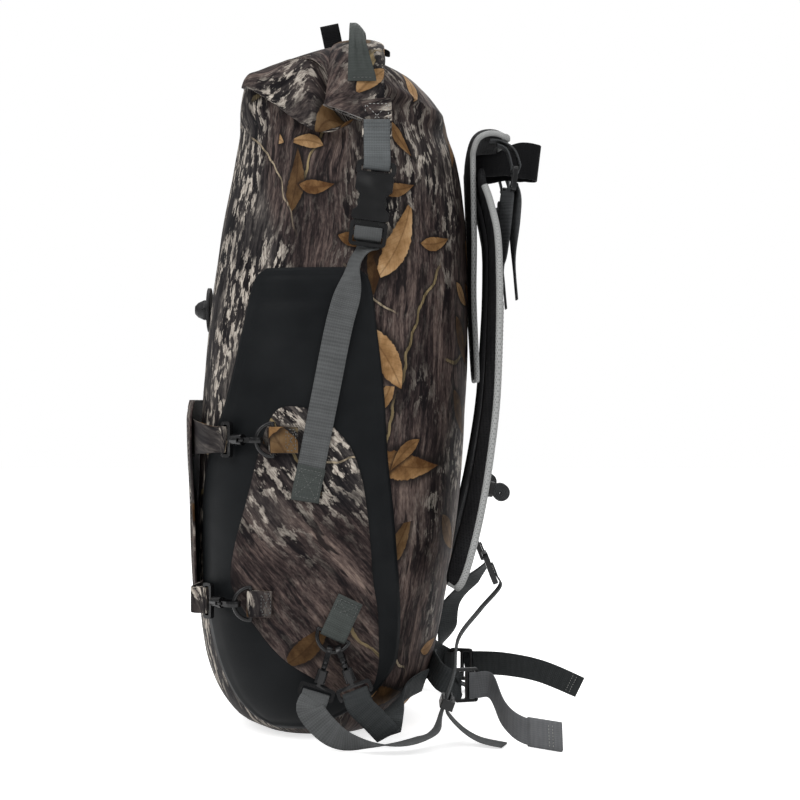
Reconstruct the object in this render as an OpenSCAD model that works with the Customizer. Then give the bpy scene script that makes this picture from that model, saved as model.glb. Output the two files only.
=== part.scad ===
// Roll-top waterproof tackle backpack with a clip-on front panel and harness.
// Origin at the middle of the flat base, +X to the wearer's right, +Y to the wearer's front, +Z up.

/* [Bag] */
// Height from the base to the neck rim under the roll
bag_h = 636; // [580:1:700]
// Greatest width across the back
bag_w = 322; // [290:1:350]
// Greatest depth from front to back
bag_d = 262; // [235:1:290]
// Coated fabric thickness of the shell
wall_t = 1.6; // [1.2:0.1:2.4]
// Thickness of the base panel
base_t = 2; // [1.5:0.1:4]
// Thickness of the side panel sheet
panel_t = 1.2; // [0.8:0.1:2]
// Thickness of the side patch sheet
patch_t = 1.2; // [0.8:0.1:2]

/* [Roll] */
// Width of the flattened roll
roll_w = 60; // [50:1:70]
// Thickness of the flattened roll
roll_t = 18; // [15:1:22]
// Bend radius of the roll where it drops over the sides
roll_bend = 48; // [42:1:56]
// Length of the drooping straight end
roll_drop = 26; // [20:1:34]
// Turns in the roll
roll_turns = 2.25; // [2:0.25:3]
// Stiffener strip width
stiff_w = 12; // [8:1:16]

/* [Webbing] */
// Width of the main webbing
web_w = 25; // [20:1:26]
// Webbing thickness
web_t = 1.5; // [1.2:0.1:2]
// Width of the load-lifter webbing
lift_w = 20; // [16:1:22]
// Width of the haul loop
haul_w = 36; // [30:1:40]

/* [Buckle] */
// Outer width of the side-release buckle
buckle_w = 34; // [33:1:38]
// Buckle thickness
buckle_t = 9; // [8:0.5:11]
// Length of the female sleeve
sleeve_l = 42; // [38:1:48]
// Running clearance inside the sleeve
sleeve_gap = 0.35; // [0.3:0.05:0.6]

/* [Snap hooks] */
// Thickness of the hook plate
hook_t = 5; // [4:0.5:6]
// Outer half width of the hook bow
bow_r = 7.5; // [7:0.5:9]
// Swivel stem diameter
stem_d = 5; // [4:0.5:5.5]
// Ring wire diameter
wire_d = 3.6; // [3:0.2:4]
// Radius of the ring to the middle of its wire
ring_r = 15; // [14:0.5:17]

/* [Harness] */
// Half width of the shoulder pad
pad_hw = 28; // [24:1:32]
// Thickness of the shoulder pad
pad_t = 9; // [7:0.5:12]
// Thickness of the yoke pad
yoke_t = 6; // [5:0.5:8]
// Binding width
bind_w = 4; // [3:0.5:5]

/* [Valve] */
// Flange diameter
flange_d = 44; // [36:1:52]
// Cap diameter at its foot
cap_d = 20; // [16:1:24]
// Cap length
cap_l = 17; // [13:1:22]

/* [Hidden] */
$fn = 48;
gap = 0.5;
// Play between the shell, the side panel and the patch, which lie on a curve
sheet_gap = 1.3;
patch_gap = 1.2;
// Height share, half width share, front share and back share of the shell at each station
stations = [
  [0, 0.59, 0.534, 0.321], [0.022, 0.758, 0.733, 0.504], [0.071, 0.894, 0.893, 0.687],
  [0.126, 0.95, 0.977, 0.779], [0.181, 0.975, 1.008, 0.832], [0.259, 0.994, 1.023, 0.893],
  [0.341, 1, 1.023, 0.947], [0.497, 1, 0.992, 1], [0.653, 0.994, 0.916, 1.015],
  [0.73, 0.981, 0.863, 1.008], [0.807, 0.957, 0.798, 0.977], [0.862, 0.925, 0.748, 0.931],
  [0.899, 0.9, 0.714, 0.87], [0.943, 0.857, 0.672, 0.794], [0.978, 0.807, 0.618, 0.695],
  [0.994, 0.708, 0.473, 0.565], [1, 0.596, -0.03, 0.4]
];
extra = [0.045, 0.098, 0.22, 0.3, 0.38, 0.42, 0.46, 0.55, 0.6, 0.68];
levels = quick([for (s = stations) s[0] * bag_h, for (e = extra) e * bag_h]);

function quick(v) = len(v) < 2 ? v : let (p = v[0])
  concat(quick([for (x = v) if (x < p) x]), [p], quick([for (x = v) if (x > p) x]));
function st(i, z) = lookup(z / bag_h, [for (s = stations) [s[0], s[i]]]);
function half_w(z) = bag_w / 2 * st(1, z);
function front_y(z) = -bag_d / 2 * st(2, z);
function back_y(z) = bag_d / 2 * st(3, z);
function mid_y(z) = (front_y(z) + back_y(z)) / 2;
function half_d(z) = (back_y(z) - front_y(z)) / 2;
// Squareness of the outline: rounded on the body, flat where the neck is pulled out under the roll
function square(z) = lookup(z / bag_h, [[0.9, 2.5], [0.965, 6]]);
function bulge(r, e) = pow(max(0, 1 - pow(abs(r), e)), 1 / e);
function side_x(y, z) = half_w(z) * bulge((y - mid_y(z)) / half_d(z), square(z));
function rear_y(x, z) = mid_y(z) + half_d(z) * bulge(x / half_w(z), square(z));
function fore_y(x, z) = mid_y(z) - half_d(z) * bulge(x / half_w(z), square(z));
function spow(v, e) = sign(v) * pow(abs(v), e);
function hz(s) = s * bag_h;
function unit(v) = v / norm(v);
function backwards(v) = [for (i = [len(v) - 1:-1:0]) v[i]];
function turned(faces) = [for (f = faces) backwards(f)];
function ring2(a, b, c, n, e) = [for (i = [0:n - 1]) let (t = 360 * i / n)
  [a * spow(cos(t), 2 / e), c + b * spow(sin(t), 2 / e)]];

// Smooth curve through hand-set points, n steps in each span
function cr(a, b, c, d, t) = 0.5 * ((2 * b) + (c - a) * t + (2 * a - 5 * b + 4 * c - d) * t * t
  + (3 * b - a - 3 * c + d) * t * t * t);
function smooth(p, n) = concat([for (i = [0:len(p) - 2], k = [0:n - 1])
  cr(p[max(i - 1, 0)], p[i], p[i + 1], p[min(i + 2, len(p) - 1)], k / n)], [p[len(p) - 1]]);
function tangent(p, i) = unit(p[min(i + 1, len(p) - 1)] - p[max(i - 1, 0)]);
function square_to(w, t) = unit(w - t * (w * t));

function strap_section(w, t) = [[-w / 2, -t / 2], [w / 2, -t / 2], [w / 2, t / 2], [-w / 2, t / 2]];
function pad_section(hw, t) = [[-hw, -t * 0.3], [-hw * 0.82, -t * 0.45], [-hw * 0.35, -t * 0.5],
  [hw * 0.35, -t * 0.5],
  [hw * 0.82, -t * 0.45], [hw, -t * 0.3], [hw, t * 0.3], [hw * 0.82, t * 0.45], [hw * 0.35, t * 0.5],
  [-hw * 0.35, t * 0.5], [-hw * 0.82, t * 0.45], [-hw, t * 0.3]];

// Sweeps a section along a line: w gives the direction of the section's width, s widens or narrows it,
// off moves it sideways
module sweep(p, w, sec, s = undef, off = 0) {
  m = len(sec);
  n = len(p);
  pts = [for (i = [0:n - 1]) let (t = tangent(p, i), u = square_to(is_list(w[0]) ? w[i] : w, t),
    v = cross(t, u),
    k = is_undef(s) ? 1 : s[i], o = is_list(off) ? off[i] : off)
    for (q = sec) p[i] + u * (q[0] * k + o) + v * q[1]];
  polyhedron(points = pts, faces = concat(
    [[for (j = [0:m - 1]) j]],
    [[for (j = [0:m - 1]) (n - 1) * m + m - 1 - j]],
    [for (i = [0:n - 2], j = [0:m - 1]) [i * m + j, (i + 1) * m + (j + 1) % m, i * m + (j + 1) % m]],
    [for (i = [0:n - 2], j = [0:m - 1]) [i * m + j, (i + 1) * m + j, (i + 1) * m + (j + 1) % m]]),
      convexity = 6);
}

// Sheet lying on the right side between two edge lines, x0 above the shell
module side_sheet(lo, hi, left, right, x0, t, m = 14) {
  zs = concat([lo], [for (z = levels) if (z > lo + 2 && z < hi - 2) z], [hi]);
  n = len(zs);
  c = m + 1;
  pts = [for (f = [0, 1], i = [0:n - 1], k = [0:m]) let (z = zs[i], y0 = lookup(z / bag_h,
    left) * bag_d / 2,
    y1 = lookup(z / bag_h, right) * bag_d / 2, y = y0 + (y1 - y0) * k / m) [side_x(y, z) + x0 + f * t,
      y, z]];
  h = n * c;
  polyhedron(points = pts, faces = turned(concat(
    [for (i = [0:n - 2], k = [0:m - 1]) [i * c + k, (i + 1) * c + k, (i + 1) * c + k + 1]],
    [for (i = [0:n - 2], k = [0:m - 1]) [i * c + k, (i + 1) * c + k + 1, i * c + k + 1]],
    [for (i = [0:n - 2], k = [0:m - 1]) [h + i * c + k, h + (i + 1) * c + k + 1, h + (i + 1) * c + k]],
    [for (i = [0:n - 2], k = [0:m - 1]) [h + i * c + k, h + i * c + k + 1, h + (i + 1) * c + k + 1]],
    [for (k = [0:m - 1]) [k, k + 1, h + k + 1, h + k]],
    [for (k = [0:m - 1]) [(n - 1) * c + k, h + (n - 1) * c + k, h + (n - 1) * c + k + 1,
      (n - 1) * c + k + 1]],
    [for (i = [0:n - 2]) [i * c, h + i * c, h + (i + 1) * c, (i + 1) * c]],
    [for (i = [0:n - 2]) [i * c + m, (i + 1) * c + m, h + (i + 1) * c + m, h + i * c + m]])),
      convexity = 4);
}

module both() {
  children();
  mirror([1, 0, 0]) children();
}

// Puts children at p with local Z along v and local X as near as can be to u
module along(p, v, u) {
  z = unit(v);
  x = square_to(u, z);
  y = cross(z, x);
  multmatrix([[x[0], y[0], z[0], p[0]], [x[1], y[1], z[1], p[1]], [x[2], y[2], z[2], p[2]], [0, 0, 0,
    1]]) children();
}

function round_rect(w, h, r, n = 6) = [for (q = [0:3], i = [0:n]) let (t = q * 90 + 90 * i / n,
  sx = (q == 0 || q == 3) ? 1 : -1, sy = (q < 2) ? 1 : -1) [sx * (w / 2 - r) + r * cos(t),
    sy * (h / 2 - r) + r * sin(t)]];
module plate(w, h, r, t) {
  translate([0, 0, -t / 2]) linear_extrude(t) polygon(round_rect(w, h, r));
}

// Sheet levels above the shell on the sides
sheet_x = sheet_gap + panel_t;
patch_x = sheet_x + patch_gap + patch_t;

module bag_shell() {
  n = 36;
  c = len(levels);
  top = c - 1;
  outer = [for (i = [0:top]) let (z = levels[i]) for (q = ring2(half_w(z), half_d(z), mid_y(z), n,
    square(z)))
    [q[0], q[1], max(z, base_t)]];
  inner = [for (i = [0:top]) let (z = levels[i],
    d = i == 0 ? base_t + wall_t : (i > top - 2 ? z - wall_t : z))
    for (q = ring2(half_w(z) - wall_t, half_d(z) - wall_t, mid_y(z), n, square(z))) [q[0], q[1], d]];
  h = c * n;
  color([0.33, 0.28, 0.24]) polyhedron(points = concat(outer, inner), faces = turned(concat(
    [[for (j = [0:n - 1]) n - 1 - j]],
    [[for (j = [0:n - 1]) h + j]],
    [for (i = [0:c - 2], j = [0:n - 1]) [i * n + j, i * n + (j + 1) % n, (i + 1) * n + (j + 1) % n]],
    [for (i = [0:c - 2], j = [0:n - 1]) [i * n + j, (i + 1) * n + (j + 1) % n, (i + 1) * n + j]],
    [for (i = [0:c - 2], j = [0:n - 1]) [h + i * n + j, h + (i + 1) * n + (j + 1) % n,
      h + i * n + (j + 1) % n]],
    [for (i = [0:c - 2], j = [0:n - 1]) [h + i * n + j, h + (i + 1) * n + j,
      h + (i + 1) * n + (j + 1) % n]],
    [for (j = [0:n - 1]) [top * n + j, top * n + (j + 1) % n, h + top * n + (j + 1) % n,
      h + top * n + j]])),
    convexity = 6);
}

module base_panel() {
  color([0.1, 0.1, 0.11]) linear_extrude(base_t) polygon(ring2(half_w(0) - 1, half_d(0) - 1, mid_y(0),
    72, square(0)));
}

panel_left = [[0.016, -0.38], [0.035, -0.55], [0.071, -0.70], [0.126, -0.81], [0.181, -0.855], [0.259,
  -0.87],
  [0.341, -0.86], [0.42, -0.82], [0.497, -0.72], [0.6, -0.61], [0.66, -0.54], [0.676, -0.505], [0.686,
    -0.43]];
panel_right = [[0.016, -0.15], [0.035, 0.04], [0.071, 0.31], [0.126, 0.48], [0.181, 0.50], [0.259, 0.48],
  [0.341, 0.45], [0.42, 0.41], [0.497, 0.39], [0.6, 0.335], [0.66, 0.295], [0.676, 0.26], [0.686, 0.18]];
module side_panels() {
  color([0.09, 0.09, 0.1]) both()
    side_sheet(hz(0.016), hz(0.686), panel_left, panel_right, sheet_gap, panel_t);
}

patch_left = [[0.068, 0.1], [0.09, -0.04], [0.126, -0.31], [0.17, -0.50], [0.21, -0.64], [0.24, -0.695],
  [0.283, -0.665], [0.354, -0.57], [0.418, -0.49], [0.455, -0.43], [0.488, -0.34]];
patch_right = [[0.068, 0.22], [0.09, 0.32], [0.126, 0.35], [0.184, 0.345], [0.24, 0.31], [0.297, 0.29],
  [0.368, 0.25], [0.426, 0.165], [0.468, 0.01], [0.488, -0.19]];
module side_patches() {
  color([0.36, 0.3, 0.25]) both()
    side_sheet(hz(0.068), hz(0.488), patch_left, patch_right, sheet_x + patch_gap, patch_t);
}

// Rolled top
roll_y = (front_y(bag_h) + back_y(bag_h)) / 2;
roll_z = bag_h + 0.5 + roll_t / 2;
ear_x = half_w(hz(0.935)) + gap + 5 + roll_t / 2;
roll_flat = ear_x - roll_bend;
ear_z = roll_z - roll_bend - roll_drop;
function arch(off) = [for (s = [-1, 1]) for (p = s < 0
  ? concat([[-ear_x - off, 0, ear_z]], [for (i = [0:5]) let (t = 180 - 18 * i)
    [-roll_flat + (roll_bend + off) * cos(t), 0, roll_z - roll_bend + (roll_bend + off) * sin(t)]])
  : concat([for (i = [0:5]) let (t = 90 - 18 * i)
    [roll_flat + (roll_bend + off) * cos(t), 0, roll_z - roll_bend + (roll_bend + off) * sin(t)]],
    [[ear_x + off, 0, ear_z]])) p + [0, roll_y, 0]];
roll_fab = 1.2;
function roll_line(s) = [for (i = [0:round(roll_turns * 16)]) let (f = i / (roll_turns * 16),
  r = 1 - 0.68 * f,
  t = -90 - 22.5 * i) [(roll_w / 2 * r - s) * cos(t), (roll_t / 2 * r - s) * sin(t)]];
function roll_at(i) = let (r = 1 - 0.68 * i / (roll_turns * 16), t = -90 - 22.5 * i)
  [roll_w / 2 * r * cos(t), roll_t / 2 * r * sin(t)];
roll_side = roll_at(8)[1];
module roll_top() {
  sec = concat(roll_line(0), backwards(roll_line(roll_fab)));
  color([0.35, 0.29, 0.25]) sweep(arch(0), [0, 1, 0], backwards(sec));
}

module roll_stiffener() {
  color([0.2, 0.2, 0.21]) translate([-roll_flat, roll_y - stiff_w / 2,
    roll_z - 0.75]) cube([2 * roll_flat, stiff_w, 1.5]);
}

// Buckle frame: mouth of the sleeve on each side, axis up along the pull line
tab_x = ear_x + roll_side + 0.4 + web_t / 2;
tab_y = roll_y + 16;
buckle_lean = 7.4;
buckle_dir = [0, sin(buckle_lean), cos(buckle_lean)];
loop_z = ear_z - 44;
bar_v = sleeve_l + 8;
mouth = [tab_x + 1.4, tab_y, loop_z] - buckle_dir * bar_v;
function on_buckle(u, v, w) = mouth + [w, 0, 0] + buckle_dir * v + [0, cos(buckle_lean),
  -sin(buckle_lean)] * u;

module buckle_frame() {
  along(mouth, buckle_dir, [0, 1, 0]) children();
}

module roll_end_tabs() {
  color([0.4, 0.33, 0.27]) both()
    sweep([[tab_x, tab_y - 1, ear_z + 17], [tab_x, tab_y, ear_z + 8], [tab_x, tab_y, ear_z - 4],
      [tab_x, tab_y, ear_z - 20]], [0, 1, 0], strap_section(web_w + 2, web_t));
}

module tab_webbing() {
  b = on_buckle(0, bar_v + 1.9, 0);
  p = smooth(concat([[tab_x + web_t + 0.3, tab_y, ear_z - 2], [tab_x + web_t + 0.3, tab_y, ear_z - 20],
    b + [4.8, 0, 8]], eye_turn(b, -buckle_dir, [1, 0, 0], 4.8), [b + [-4.8, 0, 9],
    [tab_x - web_t - 0.3, tab_y, ear_z - 21], [tab_x - web_t - 0.3, tab_y, ear_z - 10]]), 2);
  color([0.42, 0.43, 0.4]) both() sweep(p, [0, 1, -0.12], strap_section(web_w - 1, web_t));
}

sleeve_in_w = buckle_w - 6;
sleeve_in_t = buckle_t - 3.6;
module buckle_female() {
  buckle_frame() difference() {
    union() {
      translate([0, 0, sleeve_l / 2]) rotate([90, 0, 0]) plate(buckle_w, sleeve_l, 3, buckle_t);
      translate([0, 0, bar_v - 2.5]) rotate([90, 0, 0]) plate(buckle_w + 2, 13, 4, 6);
    }
    translate([-sleeve_in_w / 2, -sleeve_in_t / 2, -1]) cube([sleeve_in_w, sleeve_in_t, sleeve_l - 4]);
    for (s = [-1, 1]) translate([s * (buckle_w / 2 + 5), 0, sleeve_l * 0.42]) rotate([90, 0, 0])
      cylinder(r = 11, h = buckle_t + 2, center = true);
    translate([0, 0, bar_v - 3]) rotate([90, 0, 0]) plate(web_w + 2.5, 5.6, 1.5, 30);
  }
}
module buckle_females() {
  color([0.05, 0.05, 0.055]) both() buckle_female();
}

arm_u = sleeve_in_w / 2 - sleeve_gap - 3.2;
arm_root = 1.5;
male_t = sleeve_in_t - 2 * sleeve_gap;
module buckle_male() {
  buckle_frame() {
    difference() {
      translate([0, 0, -11.5 - sleeve_gap]) rotate([90, 0, 0]) plate(buckle_w, 23, 4, 6.5);
      translate([0, 0, -8.2]) rotate([90, 0, 0]) plate(web_w + 2.5, 5, 1.5, 30);
      translate([0, 0, -17.2]) rotate([90, 0, 0]) plate(web_w + 2.5, 6.4, 1.5, 30);
      for (s = [-1, 1]) translate([s * arm_u, 0, arm_root - 3]) rotate([90, 0, 0])
        cylinder(r = 2.2, h = 30, center = true);
    }
    translate([0, 0, 12]) rotate([90, 0, 0]) plate(5, 30, 2, male_t);
  }
}
module buckle_males() {
  color([0.05, 0.05, 0.055]) both() buckle_male();
}

// Arm on the +Y side of the right buckle, s = -1 for the other side
module squeeze_arm(s) {
  buckle_frame() translate([s * arm_u, 0, arm_root - 3]) rotate([90, 0, 0]) {
    cylinder(r = 2.1, h = male_t, center = true);
    translate([0, 12, 0]) plate(3.4, 24, 1.6, male_t);
    intersection() {
      translate([s * -3.3, 17.5, 0]) cylinder(r = 6.4, h = male_t, center = true);
      translate([s * 8.2, 17.5, 0]) cube([16.4, 16, male_t + 2], center = true);
    }
  }
}
module squeeze_arm_right_rear() {
  color([0.06, 0.06, 0.065]) squeeze_arm(1);
}
module squeeze_arm_right_front() {
  color([0.06, 0.06, 0.065]) squeeze_arm(-1);
}
module squeeze_arm_left_rear() {
  color([0.06, 0.06, 0.065]) mirror([1, 0, 0]) squeeze_arm(1);
}
module squeeze_arm_left_front() {
  color([0.06, 0.06, 0.065]) mirror([1, 0, 0]) squeeze_arm(-1);
}

// Side strap from the male half to the sewn end on the patch
function side_pt(y, z, up) = [side_x(y, z) + up, y, z];
strap_up = patch_x + 0.5 + web_t / 2;
module side_straps() {
  p = smooth([on_buckle(0, -6, 4.9), on_buckle(0, -12, 4.9), on_buckle(0, -15.4, 3.9), on_buckle(0,
    -17.2, 0),
    on_buckle(0, -19, -3.9), on_buckle(-1, -25, -4.2), on_buckle(-6, -36, 2), side_pt(tab_y - 25,
      hz(0.688), strap_up + 1.5), side_pt(tab_y - 34, hz(0.6), strap_up),
    side_pt(tab_y - 47, hz(0.5), strap_up + 0.5), side_pt(tab_y - 57, hz(0.42), strap_up),
    side_pt(tab_y - 63, hz(0.372), strap_up), side_pt(tab_y - 65, hz(0.353), strap_up)], 3);
  color([0.42, 0.43, 0.4]) both() sweep(p, [0, 1, -0.13], strap_section(web_w, web_t));
}

// Grab handle and pull tabs
grip_z = roll_z + roll_t / 2 + 17;
handle_ax = roll_z - roll_bend + 6;
module grab_handle() {
  x1 = ear_x + roll_side + 0.4 + 0.8;
  half = [[x1 + 0.2, roll_y, handle_ax - 12], [x1 + 1, roll_y, handle_ax + 6], [x1 - 3, roll_y,
    handle_ax + 32],
    [x1 - 22, roll_y, handle_ax + 56], [x1 - 60, roll_y, grip_z - 2], [x1 - 100, roll_y, grip_z]];
  p = smooth(concat(half, backwards([for (q = half) [-q[0], q[1], q[2]]])), 3);
  n = len(p);
  s = [for (i = [0:n - 1]) let (f = abs(2 * i / (n - 1) - 1)) f > 0.62 ? 1 : 0.62 + 0.38 * pow(f / 0.62, 3)];
  color([0.4, 0.42, 0.36]) sweep(p, [0, 1, 0], strap_section(28, 1.6), s);
}

pull_x = roll_flat * 0.62;
module pull_tabs() {
  a = roll_w / 2 * 0.86;
  b = roll_t / 2 * 0.52 - 0.1;
  lump = roll_at(10.3);
  color([0.05, 0.05, 0.055]) both() {
    translate([pull_x, roll_y - a, roll_z + b]) rotate([12, 0, 0]) translate([-1.5, -9, 0]) cube([3,
      18, 27]);
    translate([pull_x - 6, roll_y + lump[0], roll_z + lump[1]]) rotate([-21, 0, 0]) translate([-8, -6,
      0.4])
      cube([16, 13, 5.5]);
  }
}

// Air valve on the front
valve_z = hz(0.638);
valve_seat = fore_y(0, valve_z - flange_d / 2) - gap;
module valve_flange() {
  color([0.06, 0.06, 0.06]) translate([0, valve_seat, valve_z]) rotate([90, 0, 0]) difference() {
    cylinder(d = flange_d, h = 3);
    translate([0, 0, 1.2]) cylinder(d = 9.1, h = 5);
  }
}
module valve_cap() {
  r = cap_d / 2;
  color([0.07, 0.07, 0.07]) translate([0, valve_seat, valve_z]) rotate([90, 0, 0]) difference() {
    union() {
      translate([0, 0, 1.4]) cylinder(d = 9, h = 3);
      translate([0, 0, 3.3]) cylinder(r = r, h = 4);
      translate([0, 0, 7.2]) cylinder(r1 = r, r2 = r * 0.72, h = cap_l - 7 - r * 0.4);
      translate([0, 0, cap_l - r * 0.4]) cylinder(r1 = r * 0.72, r2 = r * 0.42, h = r * 0.3);
    }
    for (t = [0:60:300]) rotate([0, 0, t]) translate([r + 1.1, 0, 3]) cylinder(r = 2, h = 6);
  }
}

// Swivel snap hook: local Z from the webbing bar of the eye (0) to the ring wire (hook_l), local X across the bow,
// local Y across the plate
eye_bar = 14;
bow_v = eye_bar + 26;
bow_in = bow_r - 3.3;
hook_l = bow_v + bow_in - wire_d / 2 - 0.6;
gate_u = bow_r - 2;
gate_v = eye_bar + 13.4;
module hook_eye() {
  color([0.07, 0.07, 0.075]) {
    difference() {
      translate([0, 0, 4.2]) rotate([90, 0, 90]) plate(web_w + 8, 12, 3, 4);
      translate([0, 0, 4.2]) rotate([90, 0, 90]) plate(web_w + 2, 5.4, 1.2, 10);
    }
    translate([0, 0, 9]) cylinder(d = stem_d, h = eye_bar + 6.4 - 9);
    translate([0, 0, eye_bar + 6.3]) cylinder(d = stem_d + 2, h = 1.6);
  }
}
module hook_body() {
  difference() {
    union() {
      translate([0, 0, eye_bar - 2]) cylinder(d = stem_d + 5, h = 13);
      translate([-bow_r, -hook_t / 2, eye_bar + 9.5]) cube([2 * bow_r, hook_t, 6]);
      translate([-bow_r, -hook_t / 2, eye_bar + 12]) cube([bow_r - bow_in, hook_t, 14.1]);
      difference() {
        translate([0, hook_t / 2, bow_v]) rotate([90, 0, 0]) cylinder(r = bow_r, h = hook_t);
        translate([0, hook_t, bow_v]) rotate([90, 0, 0]) cylinder(r = bow_in, h = hook_t * 2);
        translate([-bow_r * 2, -hook_t, bow_v - bow_r * 2]) cube([bow_r * 4, hook_t * 2, bow_r * 2]);
      }
      translate([bow_in, -hook_t / 2, bow_v - 4]) cube([bow_r - bow_in, hook_t, 4.1]);
    }
    translate([0, 0, eye_bar - 3]) cylinder(d = stem_d + 0.1, h = 10);
    translate([0, 0, eye_bar + 6.1]) cylinder(d = stem_d + 2.4, h = 2.2);
    translate([bow_in - 2.4, -1.5, eye_bar + 10.2]) cube([8, 3, 8]);
    translate([gate_u, hook_t, gate_v]) rotate([90, 0, 0]) cylinder(d = 1.9, h = hook_t * 2);
  }
}
module hook_gate() {
  translate([gate_u, 0, gate_v]) rotate([90, 0, 0]) {
    cylinder(r = 1.9, h = 2.6, center = true);
    cylinder(d = 1.8, h = hook_t, center = true);
    translate([-0.1, 4.2, 0]) cube([3.2, 7.8, 2.6], center = true);
    translate([-0.1, 6.4, 0]) cube([3.2, 3.2, hook_t - 0.6], center = true);
    translate([2.1, 4, 0]) cylinder(r = 1.3, h = 2.6, center = true);
  }
}

// Ring with its straight bar on local Y, arc towards local X
module d_ring() {
  rotate([0, 0, -90]) rotate_extrude(angle = 180) translate([ring_r, 0]) circle(d = wire_d, $fn = 24);
  rotate([90, 0, 0]) cylinder(d = wire_d, h = 2 * ring_r, center = true);
  for (s = [-1, 1]) translate([0, s * ring_r, 0]) sphere(d = wire_d);
}

// Webbing turned round the bar of a hook eye: e on the bar, h towards the hook, n off the plate
function eye_turn(e, h, n, r = 3.6) = [e + n * r - h, e + n * r * 0.95 + h * r * 0.4,
  e + n * r * 0.6 + h * r * 0.9,
  e + h * r * 1.08, e - n * r * 0.6 + h * r * 0.9, e - n * r * 0.95 + h * r * 0.4, e - n * r - h];

// Front panel rings: [height share, bar depth share, hook eye depth share]
ring_lift = patch_x + 1.2 + web_t + 0.35 + wire_d / 2 + 0.6;
upper_z = hz(0.44);
lower_z = hz(0.206);
function panel_bar(z) = let (y = z > hz(0.3) ? -bag_d * 0.19 : -bag_d * 0.27) [side_x(y,
  z) + ring_lift, y, z];
function panel_wire(z) = let (b = panel_bar(z)) b + [z > hz(0.3) ? 1 : 1.5, -ring_r, 0];
function panel_out(z) = let (b = panel_bar(z), e = panel_wire(z)) unit(e - b);
hook_turn = [-0.64, -0.77, 0];
function panel_eye(z) = panel_wire(z) + unit(z > hz(0.3) ? hook_turn : [-0.72, -0.69, 0]) * hook_l;
module at_panel_hook(z) {
  along(panel_eye(z), panel_wire(z) - panel_eye(z), [0.7, -0.7, 0]) children();
}
module at_panel_ring(z) {
  b = panel_bar(z);
  o = panel_out(z);
  along(b, cross(o, [0, 0, 1]), o) children();
}
module panel_rings() {
  color([0.07, 0.07, 0.075]) both() for (z = [upper_z, lower_z]) at_panel_ring(z) d_ring();
}
module panel_hook_eyes() {
  both() for (z = [upper_z, lower_z]) at_panel_hook(z) hook_eye();
}
module hook_right(z) {
  color([0.08, 0.08, 0.085]) at_panel_hook(z) hook_body();
}
module gate_right(z) {
  color([0.1, 0.1, 0.105]) at_panel_hook(z) hook_gate();
}
module panel_hook_upper_right() {
  hook_right(upper_z);
}
module panel_hook_lower_right() {
  hook_right(lower_z);
}
module panel_hook_upper_left() {
  mirror([1, 0, 0]) hook_right(upper_z);
}
module panel_hook_lower_left() {
  mirror([1, 0, 0]) hook_right(lower_z);
}
module panel_gate_upper_right() {
  gate_right(upper_z);
}
module panel_gate_lower_right() {
  gate_right(lower_z);
}
module panel_gate_upper_left() {
  mirror([1, 0, 0]) gate_right(upper_z);
}
module panel_gate_lower_left() {
  mirror([1, 0, 0]) gate_right(lower_z);
}

// Fabric loop that holds a ring bar at b, running back along -d over the side, width along w
module ring_tab(b, d, w, l, lift, n = [1, 0, 0]) {
  r = wire_d / 2 + 0.35 + web_t / 2;
  function floor_x(q) = side_x(q[1], q[2]) + lift + web_t / 2 + 0.4;
  function over(q, k) = [floor_x(q) + k, q[1], q[2]];
  far = b - d * l;
  m1 = b - d * l * 0.62;
  m2 = b - d * l * 0.3;
  up = web_t + 0.4;
  sweep(smooth([over(far, up), over(m1, up), [max(floor_x(m2) + up, b[0] + r * 0.8), m2[1], m2[2]],
    b + n * r,
    b + d * r * 0.75 + n * r * 0.66, b + d * r, b + d * r * 0.75 - n * r * 0.66, b - n * r,
    over(m2, 0.1), over(m1, 0), over(b - d * l * 0.86, 0)], 2), w, strap_section(web_w - 1, web_t));
}
module panel_ring_tabs() {
  color([0.42, 0.34, 0.26]) both() for (z = [upper_z, lower_z])
    ring_tab(panel_bar(z), [0, -1, 0], [0, 0, 1], z > hz(0.3) ? 23 : 20, patch_x + 0.6);
}

// Front panel sheet with four corner tabs
panel_top = hz(0.497);
panel_foot = hz(0.194);
panel_hw = bag_w * 0.31;
panel_y = front_y(hz(0.341)) - 5.5;
panel_thick = 3;
function bowed(x) = 9 * pow(x, 4);
panel_shape = [[0, 0.9], [0.07, 0.95], [0.2, 0.97], [0.45, 0.95], [0.62, 0.99], [0.78, 1.03], [0.9, 1],
  [0.96, 0.86], [1, 0.62]];
function panel_edge(z) = panel_hw * lookup((z - panel_foot) / (panel_top - panel_foot), panel_shape);
module front_panel() {
  xs = [-1, -0.8, -0.55, -0.3, 0, 0.3, 0.55, 0.8, 1];
  sec = concat([for (x = xs) [x * panel_hw, -bowed(x)]], [for (x = backwards(xs)) [x * panel_hw,
    panel_thick - bowed(x)]]);
  color([0.34, 0.29, 0.25])
    sweep([for (f = panel_shape) [0, panel_y, panel_foot + (panel_top - panel_foot) * f[0]]], [-1, 0,
      0], sec,
      [for (f = panel_shape) f[1]]);
}
module panel_tabs() {
  color([0.34, 0.29, 0.25]) both() for (z = [upper_z, lower_z]) panel_tab(z);
}
module panel_tab(z) {
  e = panel_eye(z);
  h = unit(panel_wire(z) - e);
  n = unit(cross(h, [0, 0, 1]));
  x = panel_edge(max(z, panel_foot + 4));
  root = [x * 0.84, panel_y + bowed(0.9) + 0.9 + web_t / 2, z + 1];
  p = smooth(concat([root, [x * 1.05, panel_y + bowed(1.08) + 2, z + 1], e - h * 15 + n * 5],
    eye_turn(e, h, n), [e - h * 7 - n * 2, e - h * 13 + n * 1]), 2);
  m = len(p);
  sweep(p, [0, 0, 1], strap_section(web_w - 1, web_t), [for (i = [0:m - 1]) i < 5 ? 1.45 - 0.09 * i : 1]);
}

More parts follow.
